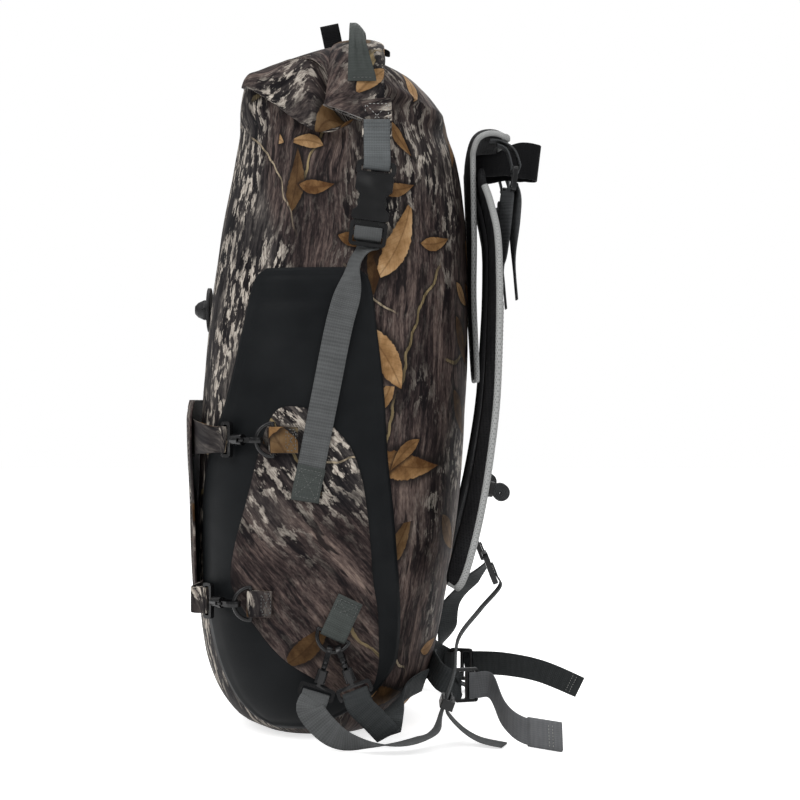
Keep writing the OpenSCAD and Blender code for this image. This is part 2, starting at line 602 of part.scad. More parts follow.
// Harness ring low on each side, with two hooks
har_dir = unit([0, -0.42, -0.9]);
har_bar = let (y = bag_d * 0.02, z = hz(0.163)) [side_x(y, z) + ring_lift + 1.5, y, z];
har_out = unit(har_dir + [0.16, 0, 0]);
har_side = unit(cross([1, 0, 0], har_dir));
function har_ray(t) = har_out * cos(t) + har_side * sin(t);
function har_wire(t) = har_bar + har_ray(t) * ring_r;
har_rear = 46;
har_front = 8;
function har_eye(t) = har_wire(t) + har_ray(t) * hook_l;
module at_har_hook(t) {
  along(har_eye(t), har_wire(t) - har_eye(t), [1, 0, 0]) children();
}
module harness_rings() {
  color([0.07, 0.07, 0.075]) both() along(har_bar, cross(har_out, har_side), har_out) d_ring();
}
module harness_ring_tabs() {
  color([0.42, 0.43, 0.4]) both() ring_tab(har_bar, har_dir, har_side, 36, patch_x + 1.5);
}
module harness_hook_eyes() {
  both() for (t = [har_rear, har_front]) at_har_hook(t) hook_eye();
}
module harness_hook_rear_right() {
  color([0.08, 0.08, 0.085]) at_har_hook(har_rear) hook_body();
}
module harness_hook_front_right() {
  color([0.08, 0.08, 0.085]) at_har_hook(har_front) hook_body();
}
module harness_hook_rear_left() {
  color([0.08, 0.08, 0.085]) mirror([1, 0, 0]) at_har_hook(har_rear) hook_body();
}
module harness_hook_front_left() {
  color([0.08, 0.08, 0.085]) mirror([1, 0, 0]) at_har_hook(har_front) hook_body();
}
module harness_gate_rear_right() {
  color([0.1, 0.1, 0.105]) at_har_hook(har_rear) hook_gate();
}
module harness_gate_front_right() {
  color([0.1, 0.1, 0.105]) at_har_hook(har_front) hook_gate();
}
module harness_gate_rear_left() {
  color([0.1, 0.1, 0.105]) mirror([1, 0, 0]) at_har_hook(har_rear) hook_gate();
}
module harness_gate_front_left() {
  color([0.1, 0.1, 0.105]) mirror([1, 0, 0]) at_har_hook(har_front) hook_gate();
}

// Yoke pad down the back with its flap turned out at the top
back_max = back_y(hz(0.653));
yoke_y = back_max + 0.4 + yoke_t / 2;
yoke_path = smooth([[0, yoke_y + 4, hz(0.527)], [0, yoke_y + 2.5, hz(0.575)], [0, yoke_y, hz(0.653)],
  [0, yoke_y, hz(0.73)], [0, yoke_y - 1, hz(0.8)], [0, yoke_y - 2, hz(0.855)], [0, yoke_y - 1.5,
    hz(0.87)],
  [0, yoke_y + 3, hz(0.886)], [0, yoke_y + 12, hz(0.893)], [0, yoke_y + 22, hz(0.892)], [0,
    yoke_y + 31, hz(0.886)]], 2);
yoke_shape = [[0, 0.3], [0.04, 0.42], [0.12, 0.52], [0.3, 0.7], [0.5, 0.88], [0.7, 0.98], [0.9, 1],
  [0.96, 0.97], [1, 0.88]];
yoke_hw = bag_w * 0.285;
yoke_scale = [for (i = [0:len(yoke_path) - 1]) lookup(i / (len(yoke_path) - 1), yoke_shape)];
module yoke_pad() {
  color([0.07, 0.07, 0.075]) sweep(yoke_path, [1, 0, 0], pad_section(yoke_hw, yoke_t), yoke_scale);
}
module yoke_binding() {
  color([0.62, 0.63, 0.64]) for (s = [-1, 1]) sweep(yoke_path, [1, 0, 0], strap_section(bind_w, yoke_t),
    off = [for (k = yoke_scale) s * (yoke_hw * k + bind_w / 2 + 0.5)]);
}
flap_tip = yoke_path[len(yoke_path) - 1];
module haul_loop() {
  y0 = yoke_y + yoke_t / 2;
  z0 = flap_tip[2] - yoke_t / 2 - haul_w / 2 - 4;
  half = [[30.5, y0 - 0.4, z0], [31.5, y0 + 11, z0], [36, y0 + 24, z0 + 0.5], [36, y0 + 38, z0 + 1],
    [27, y0 + 55, z0 - 2], [12, y0 + 62, z0 - 3]];
  p = smooth(concat(half, backwards([for (q = half) [-q[0], q[1], q[2]]])), 3);
  color([0.06, 0.06, 0.065]) sweep(p, [0, 0.12, 1], strap_section(haul_w, 2.4));
}

// Shoulder straps: [x share, stand-off from the back, height share]
strap_pts = [[0.385, 18, 0.842], [0.4, 21, 0.82], [0.435, 27, 0.786], [0.485, 32, 0.739], [0.53, 34,
  0.676], [0.575, 36, 0.6],
  [0.63, 38, 0.497], [0.675, 38, 0.406], [0.71, 36, 0.333], [0.73, 33, 0.267], [0.735, 30, 0.225]];
strap_path = smooth([for (s = strap_pts) let (x = s[0] * bag_w / 2, z = hz(s[2])) [x, max(rear_y(x,
  z) + s[1],
  z > hz(0.5) ? yoke_y + yoke_t / 2 + pad_t / 2 + lookup(s[2], [[0.78, 1], [0.842, -1.4]]) : 0), z]], 2);
strap_n = len(strap_path);
strap_tilt = [for (i = [0:strap_n - 1]) [1, 0.02 + 0.24 * pow(i / (strap_n - 1), 1.5), 0]];
strap_scale = [for (i = [0:strap_n - 1]) let (f = i / (strap_n - 1)) lookup(f, [[0, 0.6], [0.06, 0.85],
  [0.12, 1], [0.86, 1],
  [0.93, 0.9], [0.97, 0.72], [1, 0.42]])];
module shoulder_pad() {
  sweep(strap_path, strap_tilt, pad_section(pad_hw, pad_t), strap_scale);
}
module shoulder_pad_right() {
  color([0.07, 0.07, 0.075]) shoulder_pad();
}
module shoulder_pad_left() {
  color([0.07, 0.07, 0.075]) mirror([1, 0, 0]) shoulder_pad();
}
module shoulder_bindings() {
  color([0.62, 0.63, 0.64]) both() for (s = [-1, 1]) sweep(strap_path, strap_tilt,
    strap_section(bind_w, pad_t * 0.62),
    off = [for (k = strap_scale) s * (pad_hw * k + bind_w / 2 + 0.2)]);
}
function strap_at(i, up) = strap_path[i] + cross(square_to(strap_tilt[i], tangent(strap_path, i)),
  tangent(strap_path, i)) * up;
web_up = pad_t / 2 + 0.4 + web_t / 2;
module shoulder_webbing() {
  color([0.2, 0.2, 0.2]) both() sweep([for (i = [9:strap_n - 4]) strap_at(i, web_up)],
    [for (i = [9:strap_n - 4]) strap_tilt[i]], strap_section(web_w, web_t));
}

// Ladder lock: local X across the webbing, local Z along it, three bars
module ladder_lock(w, l) {
  rotate([90, 0, 0]) difference() {
    plate(w + 8, l, 3, 5);
    translate([0, l * 0.25, 0]) plate(w + 1.5, l * 0.27, 1.2, 10);
    translate([0, -l * 0.17, 0]) plate(w + 1.5, l * 0.3, 1.2, 10);
  }
}
lift_x = yoke_hw * 0.9;
lock_l = 24;
lift_c = [lift_x, flap_tip[1] + 6, flap_tip[2] - 38];
lift_dir = unit([0, 0.12, 1]);
module lifter_locks() {
  color([0.05, 0.05, 0.055]) both() along(lift_c, lift_dir, [1, 0, 0]) ladder_lock(lift_w, lock_l);
}
module lifter_webbing() {
  b = lift_c + lift_dir * lock_l * 0.43;
  c = lift_c - lift_dir * lock_l * 0.43;
  zf = flap_tip[2] - yoke_t / 2 - 0.5 - web_t / 2;
  tab = smooth([[lift_x, flap_tip[1] - 17, zf + 3.2], [lift_x, flap_tip[1] - 6, zf + 2], [lift_x,
    flap_tip[1] + 6, zf - 6],
    b + [0, 4.2, 4], b + [0, 3.8, 0], b + [0, 2.5, -3], b + [0, -0.5, -3.7], b + [0, -3.6, -1], b + [0,
      -3.5, 3],
    [lift_x, flap_tip[1] - 1, zf - 6], [lift_x, flap_tip[1] - 10, zf - 1]], 2);
  i = 8;
  s = strap_at(i, web_up);
  run = smooth([c + [0, -3.9, 8], c + [0, -4.2, 1], c + [0, -5.5, -8], [lift_x, s[1] + 1, s[2] + 26],
    [lift_x, strap_at(i - 1, web_up)[1] + 0.6, s[2] + 10], [lift_x, s[1] + 0.8, s[2] - 6]], 2);
  tail = smooth([c + [0, 3.9, 6], c + [0, 4.2, -2], c + [0, 2, -30], c + [0, 1, -64], c + [0, 4,
    -104]], 2);
  color([0.25, 0.25, 0.25]) both() {
    sweep(tab, [1, 0, 0], strap_section(lift_w, web_t));
    sweep(run, [1, 0, 0], strap_section(lift_w, web_t));
    sweep(tail, [1, 0, 0], strap_section(lift_w, web_t));
  }
}

// Lower lock at the end of each shoulder pad
low_c = strap_at(strap_n - 3, web_up) + [0, 20, -8];
low_dir = unit([0.02, -0.35, 0.94]);
module lower_locks() {
  color([0.05, 0.05, 0.055]) both() along(low_c, low_dir, [1, 0, 0]) ladder_lock(web_w, 30);
}
keeper_lean = 20;
keeper_c = [bag_w * 0.452, bag_d * 0.412, 40];
module strap_keepers() {
  color([0.05, 0.05, 0.055]) both() translate(keeper_c) rotate([-keeper_lean, 0, 0]) difference() {
    cube([web_w + 12, 12, 9], center = true);
    cube([web_w + 7, 6.2, 30], center = true);
  }
}
module lower_webbing() {
  e = har_eye(har_front);
  h = -har_ray(har_front);
  side = unit(cross([1, 0, 0], h)) * -1;
  t = low_c - low_dir * 14;
  n = [0, 0.94, 0.35];
  k = [0, sin(keeper_lean), cos(keeper_lean)];
  off = [0, cos(keeper_lean), -sin(keeper_lean)] * 1.8;
  run = smooth(concat([low_c + n * 3.7 + low_dir * 2, t + n * 3.7 + low_dir * 4,
    t + n * 2.8 - low_dir * 6,
    [t[0] + 3, t[1] - 14, t[2] - 26], [bag_w * 0.405, bag_d * 0.455, 96], [bag_w * 0.435, bag_d * 0.44,
      68],
    keeper_c + k * 8 - off, keeper_c - off, keeper_c - k * 8 - off + [1, 0, 0], [bag_w * 0.5,
      bag_d * 0.375, 20],
    [bag_w * 0.565, bag_d * 0.36, 13], [bag_w * 0.615, bag_d * 0.24, 7], [bag_w * 0.61, bag_d * 0.12, 8],
    [bag_w * 0.58, bag_d * 0.02, 16], e - h * 12 + [5, 0, 0]], eye_turn(e, h, [1, 0, 0]),
      [e - h * 9 - [3, 0, 0]]), 2);
  m = len(run);
  tail = smooth([keeper_c + k * 8 + off, keeper_c + off, keeper_c - k * 8 + off * 1.4, keeper_c + [-1,
    13, -24],
    keeper_c + [2, 30, -34], keeper_c + [8, 52, -38]], 2);
  function run_turn(i, twist) = let (f = max(0, min(1, (i / (m - 1) - 0.52) / 0.1)),
    k = lookup(i / (m - 1),
    [[0.09, 0], [0.15, twist], [0.2, twist], [0.255, 0]])) ([1, 0, 0] * (1 - k) + [0.35, 0.8,
      0.3] * k) * (1 - f) + side * f;
  color([0.2, 0.2, 0.2]) {
    sweep(run, [for (i = [0:m - 1]) run_turn(i, 0)], strap_section(web_w, web_t));
    mirror([1, 0, 0]) sweep(run, [for (i = [0:m - 1]) run_turn(i, 1)], strap_section(web_w, web_t));
    both() sweep(tail, [1, 0, 0], strap_section(web_w, web_t));
  }
}
module stabiliser_straps() {
  e = har_eye(har_rear);
  h = -har_ray(har_rear);
  x = half_w(hz(0.07)) * 0.72;
  p = smooth(concat([e - h * 10 - [3, 0, 0]], backwards(eye_turn(e, h, [1, 0, 0])), [e - h * 10 + [3,
    0, 0],
    [e[0] - 4, e[1] + 11, 21], [e[0] - 14, e[1] + 28, 17], [e[0] - 24, e[1] + 42, 22], [x + 22,
      rear_y(x + 22, 44) + 12, 36],
    [x, rear_y(x, 46) + 6, 46], [x - 30, rear_y(x - 30, 48) + 6, 48]]), 2);
  n = len(p);
  side = unit(cross([1, 0, 0], h)) * -1;
  color([0.1, 0.1, 0.1]) both() sweep(p, [for (i = [0:n - 1]) let (f = max(0, i / (n - 1) - 0.58) / 0.42)
    side * (1 - f) + [0, 0.42, 1] * f], strap_section(web_w - 1, web_t));
}

// Chest strap slider and rolled webbing on each shoulder pad
chest_i = strap_n - 6;
module chest_sliders() {
  c = strap_at(chest_i, web_up + web_t / 2 + 0.4 + 2);
  color([0.05, 0.05, 0.055]) both() along(c, tangent(strap_path, chest_i),
    strap_tilt[chest_i]) difference() {
    rotate([90, 0, 0]) plate(web_w + 8, 14, 2.5, 4);
    rotate([90, 0, 0]) plate(web_w - 3, 6, 1.2, 10);
  }
}
module chest_webbing() {
  c = strap_at(chest_i, web_up + web_t / 2 + 15);
  p = [for (i = [0:26]) let (t = 200 - 30 * i, r = 8.4 - 0.21 * i) c + [0, r * cos(t), r * sin(t)]];
  color([0.3, 0.3, 0.29]) both() sweep(p, [1, 0, 0], strap_section(20, web_t));
}

// Waist belt: webbing from the foot of the back to a lock, then a loose end
belt_c = [bag_w * 0.2, bag_d * 0.49, 42];
module belt_locks() {
  color([0.05, 0.05, 0.055]) both() along(belt_c, [-0.3, 1, 0], [0, 0, 1]) ladder_lock(web_w, 24);
}
module belt_webbing() {
  d = unit([-0.3, 1, 0]);
  n = unit([1, 0.3, 0]);
  x = bag_w * 0.16;
  root = smooth([[x - 20, rear_y(x - 20, 60) + 2.2, 60], [x - 4, rear_y(x, 60) + 2.8, 60], [x + 18,
    rear_y(x, 60) + 11, 51],
    for (q = eye_turn(belt_c - d * 9.9, d, n, 4.15)) q, belt_c - d * 17 - n * 3], 2);
  near = smooth([belt_c + d * 2 + n * 4.4, belt_c + d * 9 + n * 4.8, belt_c + d * 20 + n * 16,
    [bag_w * 0.34, bag_d * 0.62, 22],
    [bag_w * 0.47, bag_d * 0.68, 15], [bag_w * 0.55, bag_d * 0.8, 14]], 3);
  far = smooth([[-belt_c[0], belt_c[1], belt_c[2]] + [0.3, 1, 0] * 2 + [-4.6, 1.4, 0], [-belt_c[0],
    belt_c[1], belt_c[2]] + [0.3, 1, 0] * 10 + [-4.8, 1.4, 1],
    [-bag_w * 0.16, bag_d * 0.66, 44], [-bag_w * 0.13, bag_d * 0.8, 38], [-bag_w * 0.12, bag_d * 0.95,
      22]], 3);
  color([0.24, 0.24, 0.24]) {
    both() sweep(root, [for (i = [0:len(root) - 1]) [0, i < 4 ? 0.38 : 0, 1]], strap_section(web_w,
      web_t));
    sweep(near, [for (i = [0:15]) [0.12 * i / 15, 0, 1]], strap_section(web_w, web_t));
    sweep(far, [for (i = [0:12]) [0.4 * i / 12, 0, 1]], strap_section(web_w, web_t));
  }
}

bag_shell();
base_panel();
side_panels();
side_patches();
roll_top();
roll_stiffener();
roll_end_tabs();
tab_webbing();
buckle_females();
buckle_males();
squeeze_arm_right_rear();
squeeze_arm_right_front();
squeeze_arm_left_rear();
squeeze_arm_left_front();
side_straps();
grab_handle();
pull_tabs();
valve_flange();
valve_cap();
front_panel();
panel_tabs();
panel_rings();
panel_ring_tabs();
panel_hook_eyes();
panel_hook_upper_right();
panel_hook_lower_right();
panel_hook_upper_left();
panel_hook_lower_left();
panel_gate_upper_right();
panel_gate_lower_right();
panel_gate_upper_left();
panel_gate_lower_left();
harness_rings();
harness_ring_tabs();
harness_hook_eyes();
harness_hook_rear_right();
harness_hook_front_right();
harness_hook_rear_left();
harness_hook_front_left();
harness_gate_rear_right();
harness_gate_front_right();
harness_gate_rear_left();
harness_gate_front_left();
yoke_pad();
yoke_binding();
haul_loop();
shoulder_pad_right();
shoulder_pad_left();
shoulder_bindings();
shoulder_webbing();
lifter_locks();
lifter_webbing();
lower_locks();
lower_webbing();
strap_keepers();
stabiliser_straps();
chest_sliders();
chest_webbing();
belt_locks();
belt_webbing();
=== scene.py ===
import math

import bmesh
import bpy
from mathutils import Matrix, Vector, noise


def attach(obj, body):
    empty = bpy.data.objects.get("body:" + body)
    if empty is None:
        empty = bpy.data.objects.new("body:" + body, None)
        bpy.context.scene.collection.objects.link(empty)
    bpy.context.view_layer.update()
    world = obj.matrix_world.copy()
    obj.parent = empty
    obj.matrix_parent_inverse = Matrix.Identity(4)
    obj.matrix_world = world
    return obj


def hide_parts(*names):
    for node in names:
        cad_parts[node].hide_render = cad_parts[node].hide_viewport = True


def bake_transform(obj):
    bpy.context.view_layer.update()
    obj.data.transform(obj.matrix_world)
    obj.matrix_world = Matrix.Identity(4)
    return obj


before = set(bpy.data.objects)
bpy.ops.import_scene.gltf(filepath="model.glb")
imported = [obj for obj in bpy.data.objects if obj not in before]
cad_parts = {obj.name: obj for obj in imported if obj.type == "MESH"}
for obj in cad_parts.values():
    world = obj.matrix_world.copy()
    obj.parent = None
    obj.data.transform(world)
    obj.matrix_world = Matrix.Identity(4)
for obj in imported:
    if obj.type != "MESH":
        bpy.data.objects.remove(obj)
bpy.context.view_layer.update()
scene = bpy.context.scene
scene.view_settings.view_transform = "Standard"

# Sizes in millimetres

MM = 0.001
BAG_H, BAG_W, BAG_D = 636.0, 322.0, 262.0
SQUARENESS = [(0.9, 2.5), (0.965, 6)]
WEB_W, WEB_T = 25.0, 1.5
ROLL_W, ROLL_T, ROLL_BEND, ROLL_DROP, ROLL_TURNS = 60.0, 18.0, 48.0, 26.0, 2.25
PAD_HALF, PAD_T, YOKE_T, BIND_W = 28.0, 9.0, 6.0, 4.0
WIRE_D, RING_R = 3.6, 15.0
HAUL_W, LIFT_W = 36.0, 20.0
PANEL_OFF, PATCH_OFF = 2.5, 4.9

# Camera: sensor in millimetres, focal length and picture in pixels, place in metres

SENSOR, FOCAL_PX, VIEW_PX = 36, 1700, 800
EYE = (1.7, 0.065, 0.316)


def set_camera():
    data = bpy.data.cameras.new("camera")
    data.sensor_width = SENSOR
    data.lens = SENSOR * FOCAL_PX / VIEW_PX
    camera = bpy.data.objects.new("camera", data)
    camera.location = EYE
    camera.rotation_euler = (math.radians(90), 0, math.radians(90))
    scene.collection.objects.link(camera)
    scene.camera = camera


set_camera()


# The bag by height: share of its height, then half width, front and back as shares of half sizes

STATIONS = [
    (0, 0.59, 0.534, 0.321), (0.022, 0.758, 0.733, 0.504), (0.071, 0.894, 0.893, 0.687),
    (0.126, 0.95, 0.977, 0.779), (0.181, 0.975, 1.008, 0.832), (0.259, 0.994, 1.023, 0.893),
    (0.341, 1, 1.023, 0.947), (0.497, 1, 0.992, 1), (0.653, 0.994, 0.916, 1.015),
    (0.73, 0.981, 0.863, 1.008), (0.807, 0.957, 0.798, 0.977), (0.862, 0.925, 0.748, 0.931),
    (0.899, 0.9, 0.714, 0.87), (0.943, 0.857, 0.672, 0.794), (0.978, 0.807, 0.618, 0.695),
    (0.994, 0.708, 0.473, 0.565), (1, 0.596, -0.03, 0.4),
]


def straight(table, x):
    """Straight lines through the table's points."""
    if x <= table[0][0]:
        return table[0][1]
    for (x0, y0), (x1, y1) in zip(table, table[1:]):
        if x <= x1:
            return y0 + (y1 - y0) * (x - x0) / (x1 - x0)
    return table[-1][1]


def rounded(table, x):
    """A smooth line through the table's points that never overshoots them."""
    n = len(table)
    x = min(max(x, table[0][0]), table[-1][0])
    i = 0
    while i < n - 2 and x > table[i + 1][0]:
        i += 1
    slopes = [(b[1] - a[1]) / (b[0] - a[0]) for a, b in zip(table, table[1:])]

    def lean(k):
        if k == 0:
            return slopes[0]
        if k == n - 1:
            return slopes[-1]
        a, b = slopes[k - 1], slopes[k]
        return 0 if a * b <= 0 else 2 * a * b / (a + b)

    (x0, y0), (x1, y1) = table[i], table[i + 1]
    h = x1 - x0
    t = (x - x0) / h
    m0, m1 = lean(i) * h, lean(i + 1) * h
    return ((2 * t ** 3 - 3 * t * t + 1) * y0 + (t ** 3 - 2 * t * t + t) * m0
            + (3 * t * t - 2 * t ** 3) * y1 + (t ** 3 - t * t) * m1)


def columns(k):
    return [(s[0] * BAG_H, s[k]) for s in STATIONS]


WIDTHS, FRONTS, BACKS = columns(1), columns(2), columns(3)


class Section:
    """The bag's outline at one height; look is straight for hardware and rounded for cloth."""

    def __init__(self, z, look=straight):
        self.w = BAG_W / 2 * look(WIDTHS, z)
        front = -BAG_D / 2 * look(FRONTS, z)
        back = BAG_D / 2 * look(BACKS, z)
        self.mid = (front + back) / 2
        self.d = (back - front) / 2
        self.e = straight(SQUARENESS, z / BAG_H)

    def bulge(self, r):
        return max(0.0, 1 - abs(r) ** self.e) ** (1 / self.e)

    def side(self, y):
        return self.w * self.bulge((y - self.mid) / self.d)

    def rear(self, x):
        return self.mid + self.d * self.bulge(x / self.w)

    def ring(self, turn):
        c, s = math.cos(turn), math.sin(turn)
        r = (abs(c) ** self.e + abs(s) ** self.e) ** (-1 / self.e)
        return self.w * c * r, self.mid + self.d * s * r


def side_x(y, z):
    return Section(z).side(y)


def rear_y(x, z):
    return Section(z).rear(x)


def hz(share):
    """Height at a share of the bag's height."""
    return share * BAG_H


def ease(a, b, x):
    """0 below a, 1 above b, and a soft step between."""
    t = min(max((x - a) / (b - a), 0), 1)
    return t * t * (3 - 2 * t)


# Soft folds on the sides: place (y, z), reach, lean and depth
FOLDS = [(98, 246, 46, 0.12, 2.6), (92, 182, 40, -0.2, 3.0), (-28, 408, 60, 0.06, 1.6),
         (-16, 372, 52, -0.1, 1.4), (70, 560, 40, 0.5, 2.4), (96, 522, 36, 0.7, 2.0)]
FOLD_WIDE = 7.5


def dent(y, z):
    """How far the filled cloth sinks at a place on a side, in millimetres."""
    wave = noise.noise(Vector((y / 55, z / 70, 3.1))) * 1.6 + noise.noise(Vector((y / 24, z / 30, 9.4))) * 0.7
    fold = 0.0
    for fy, fz, reach, lean, deep in FOLDS:
        u, v = y - fy, z - fz - lean * (y - fy)
        fold += deep * math.exp(-(u / reach) ** 2 - (v / FOLD_WIDE) ** 2)
    return max(0.0, 1.0 + wave) * 0.6 + fold


def unit(v):
    return v.normalized()


def V(*c):
    return Vector(c)


def flip(v, side):
    return V(v.x * side, v.y, v.z)


AX, AY, AZ = V(1, 0, 0), V(0, 1, 0), V(0, 0, 1)


def between(points, i, t):
    """A place on the i-th span of a curve through the points, a share t along the span."""
    a, b, c, d = points[max(i - 1, 0)], points[i], points[i + 1], points[min(i + 2, len(points) - 1)]
    return 0.5 * (2 * b + (c - a) * t + (2 * a - 5 * b + 4 * c - d) * t * t + (3 * b - a - 3 * c + d) * t ** 3)


def smooth(points, n):
    """A curve through the points, n steps to a span."""
    points = [Vector(p) for p in points]
    return [between(points, i, k / n) for i in range(len(points) - 1) for k in range(n)] + [points[-1]]


def tangent(path, i):
    return unit(path[min(i + 1, len(path) - 1)] - path[max(i - 1, 0)])


def square_to(w, t):
    """The part of w that is square to t, as a unit vector."""
    return unit(w - t * w.dot(t))


def lengths(path):
    """Distance along the path at each of its points."""
    run = [0.0]
    for a, b in zip(path, path[1:]):
        run.append(run[-1] + (b - a).length)
    return run


def eye_turn(e, h, n, r=3.6):
    """Points of webbing that turns round the bar of an eye."""
    return [e + n * r - h, e + n * r * 0.95 + h * r * 0.4, e + n * r * 0.6 + h * r * 0.9, e + h * r * 1.08,
            e - n * r * 0.6 + h * r * 0.9, e - n * r * 0.95 + h * r * 0.4, e - n * r - h]


# Shader wrapper

class Val:
    """A shader socket that takes part in Python sums."""

    def __init__(self, nodes, socket):
        self.nodes, self.socket = nodes, socket

    def __add__(self, o):
        return self.nodes.math("ADD", self, o)

    __radd__ = __add__

    def __sub__(self, o):
        return self.nodes.math("SUBTRACT", self, o)

    def __rsub__(self, o):
        return self.nodes.math("SUBTRACT", o, self)

    def __mul__(self, o):
        return self.nodes.math("MULTIPLY", self, o)

    __rmul__ = __mul__

    def __truediv__(self, o):
        return self.nodes.math("DIVIDE", self, o)

    def __abs__(self):
        return self.nodes.math("ABSOLUTE", self)


class Nodes:
    """Adds nodes to one shader tree."""

    def __init__(self, tree):
        self.tree = tree

    def fill(self, socket, value):
        if isinstance(value, Val):
            self.tree.links.new(value.socket, socket)
        elif isinstance(value, (tuple, list)) and socket.type == "RGBA":
            socket.default_value = (*value[:3], 1)
        else:
            socket.default_value = value

    def node(self, kind, settings=None, inputs=None, out=0):
        n = self.tree.nodes.new(kind)
        for key, value in (settings or {}).items():
            if key == "stops":
                ramp = n.color_ramp
                while len(ramp.elements) < len(value):
                    ramp.elements.new(0.5)
                for e, (at, colour) in zip(ramp.elements, value):
                    e.position, e.color = at, (*colour, 1)
            else:
                setattr(n, key, value)
        for key, value in (inputs or {}).items():
            self.fill(n.inputs[key], value)
        return Val(self, n.outputs[out])

    def math(self, op, *terms):
        return self.node("ShaderNodeMath", {"operation": op}, dict(enumerate(terms)))

    def ray(self, kind):
        return self.node("ShaderNodeLightPath", out=kind)

    def found(self, kind):
        return next(n for n in self.tree.nodes if n.type == kind)


class Finish(Nodes):
    """A material built node by node."""

    def __init__(self, name, uv=None):
        self.mat = bpy.data.materials.new(name)
        self.mat.use_nodes = True
        super().__init__(self.mat.node_tree)
        self.bsdf = self.found("BSDF_PRINCIPLED")
        if uv:
            self.place = self.node("ShaderNodeUVMap", {"uv_map": uv})
        else:
            self.place = self.node("ShaderNodeTexCoord", out="Object")

    def put(self, name, value):
        self.fill(self.bsdf.inputs[name], value)

    def moved(self, scale=(1, 1, 1), turn=0.0, shift=(0, 0, 0), source=None):
        return self.node("ShaderNodeMapping", {}, {"Vector": source or self.place, "Scale": scale,
                                                  "Rotation": (0, 0, turn), "Location": shift})

    def grain(self, where, scale, detail=2.0, rough=0.5, out=0):
        return self.node("ShaderNodeTexNoise", {"noise_dimensions": "3D"},
                         {"Vector": where, "Scale": scale, "Detail": detail, "Roughness": rough}, out)

    def split(self, where):
        n = self.node("ShaderNodeSeparateXYZ", {}, {0: where}).socket.node
        return Val(self, n.outputs[0]), Val(self, n.outputs[1])

    def soft(self, value, low, high):
        return self.node("ShaderNodeMapRange", {"interpolation_type": "SMOOTHSTEP"},
                         {"Value": value, "From Min": low, "From Max": high})

    def blend(self, factor, a, b):
        return self.node("ShaderNodeMix", {"data_type": "RGBA"}, {0: factor, 6: a, 7: b}, 2)

    def ramp(self, value, stops):
        return self.node("ShaderNodeValToRGB", {"stops": stops}, {0: value})

    def relief(self, height, strength, distance):
        bump = {"Height": height, "Strength": strength, "Distance": distance}
        self.put("Normal", self.node("ShaderNodeBump", {}, bump))


def shaded(colour, k):
    return [min(1, c * k) for c in colour]


UV = "cloth"


# Printed twigs: lean, spacing, half width, sway, tint and shift
TWIGS = [(0.25, 0.17, 0.0016, 0.55, (0.25, 0.19, 0.1), 0.21), (-0.9, 0.23, 0.0011, 0.5, (0.33, 0.27, 0.19), 0.63),
         (1.2, 0.31, 0.0024, 0.45, (0.16, 0.125, 0.07), 0.37)]
# Printed leaves: cell scale, share of bare cells, half length, half width and shade
LEAVES = [(15.0, 0.56, 0.032, 0.0125, 0.3), (9.2, 0.68, 0.043, 0.0165, 0.86), (21.0, 0.74, 0.021, 0.0085, 0.72)]
LEAF_TINTS = [(0.3, (0.10, 0.045, 0.015)), (0.48, (0.30, 0.165, 0.068)), (0.62, (0.47, 0.285, 0.135)),
              (0.8, (0.62, 0.44, 0.26))]
LEAF_RIB = (0.085, 0.036, 0.013)


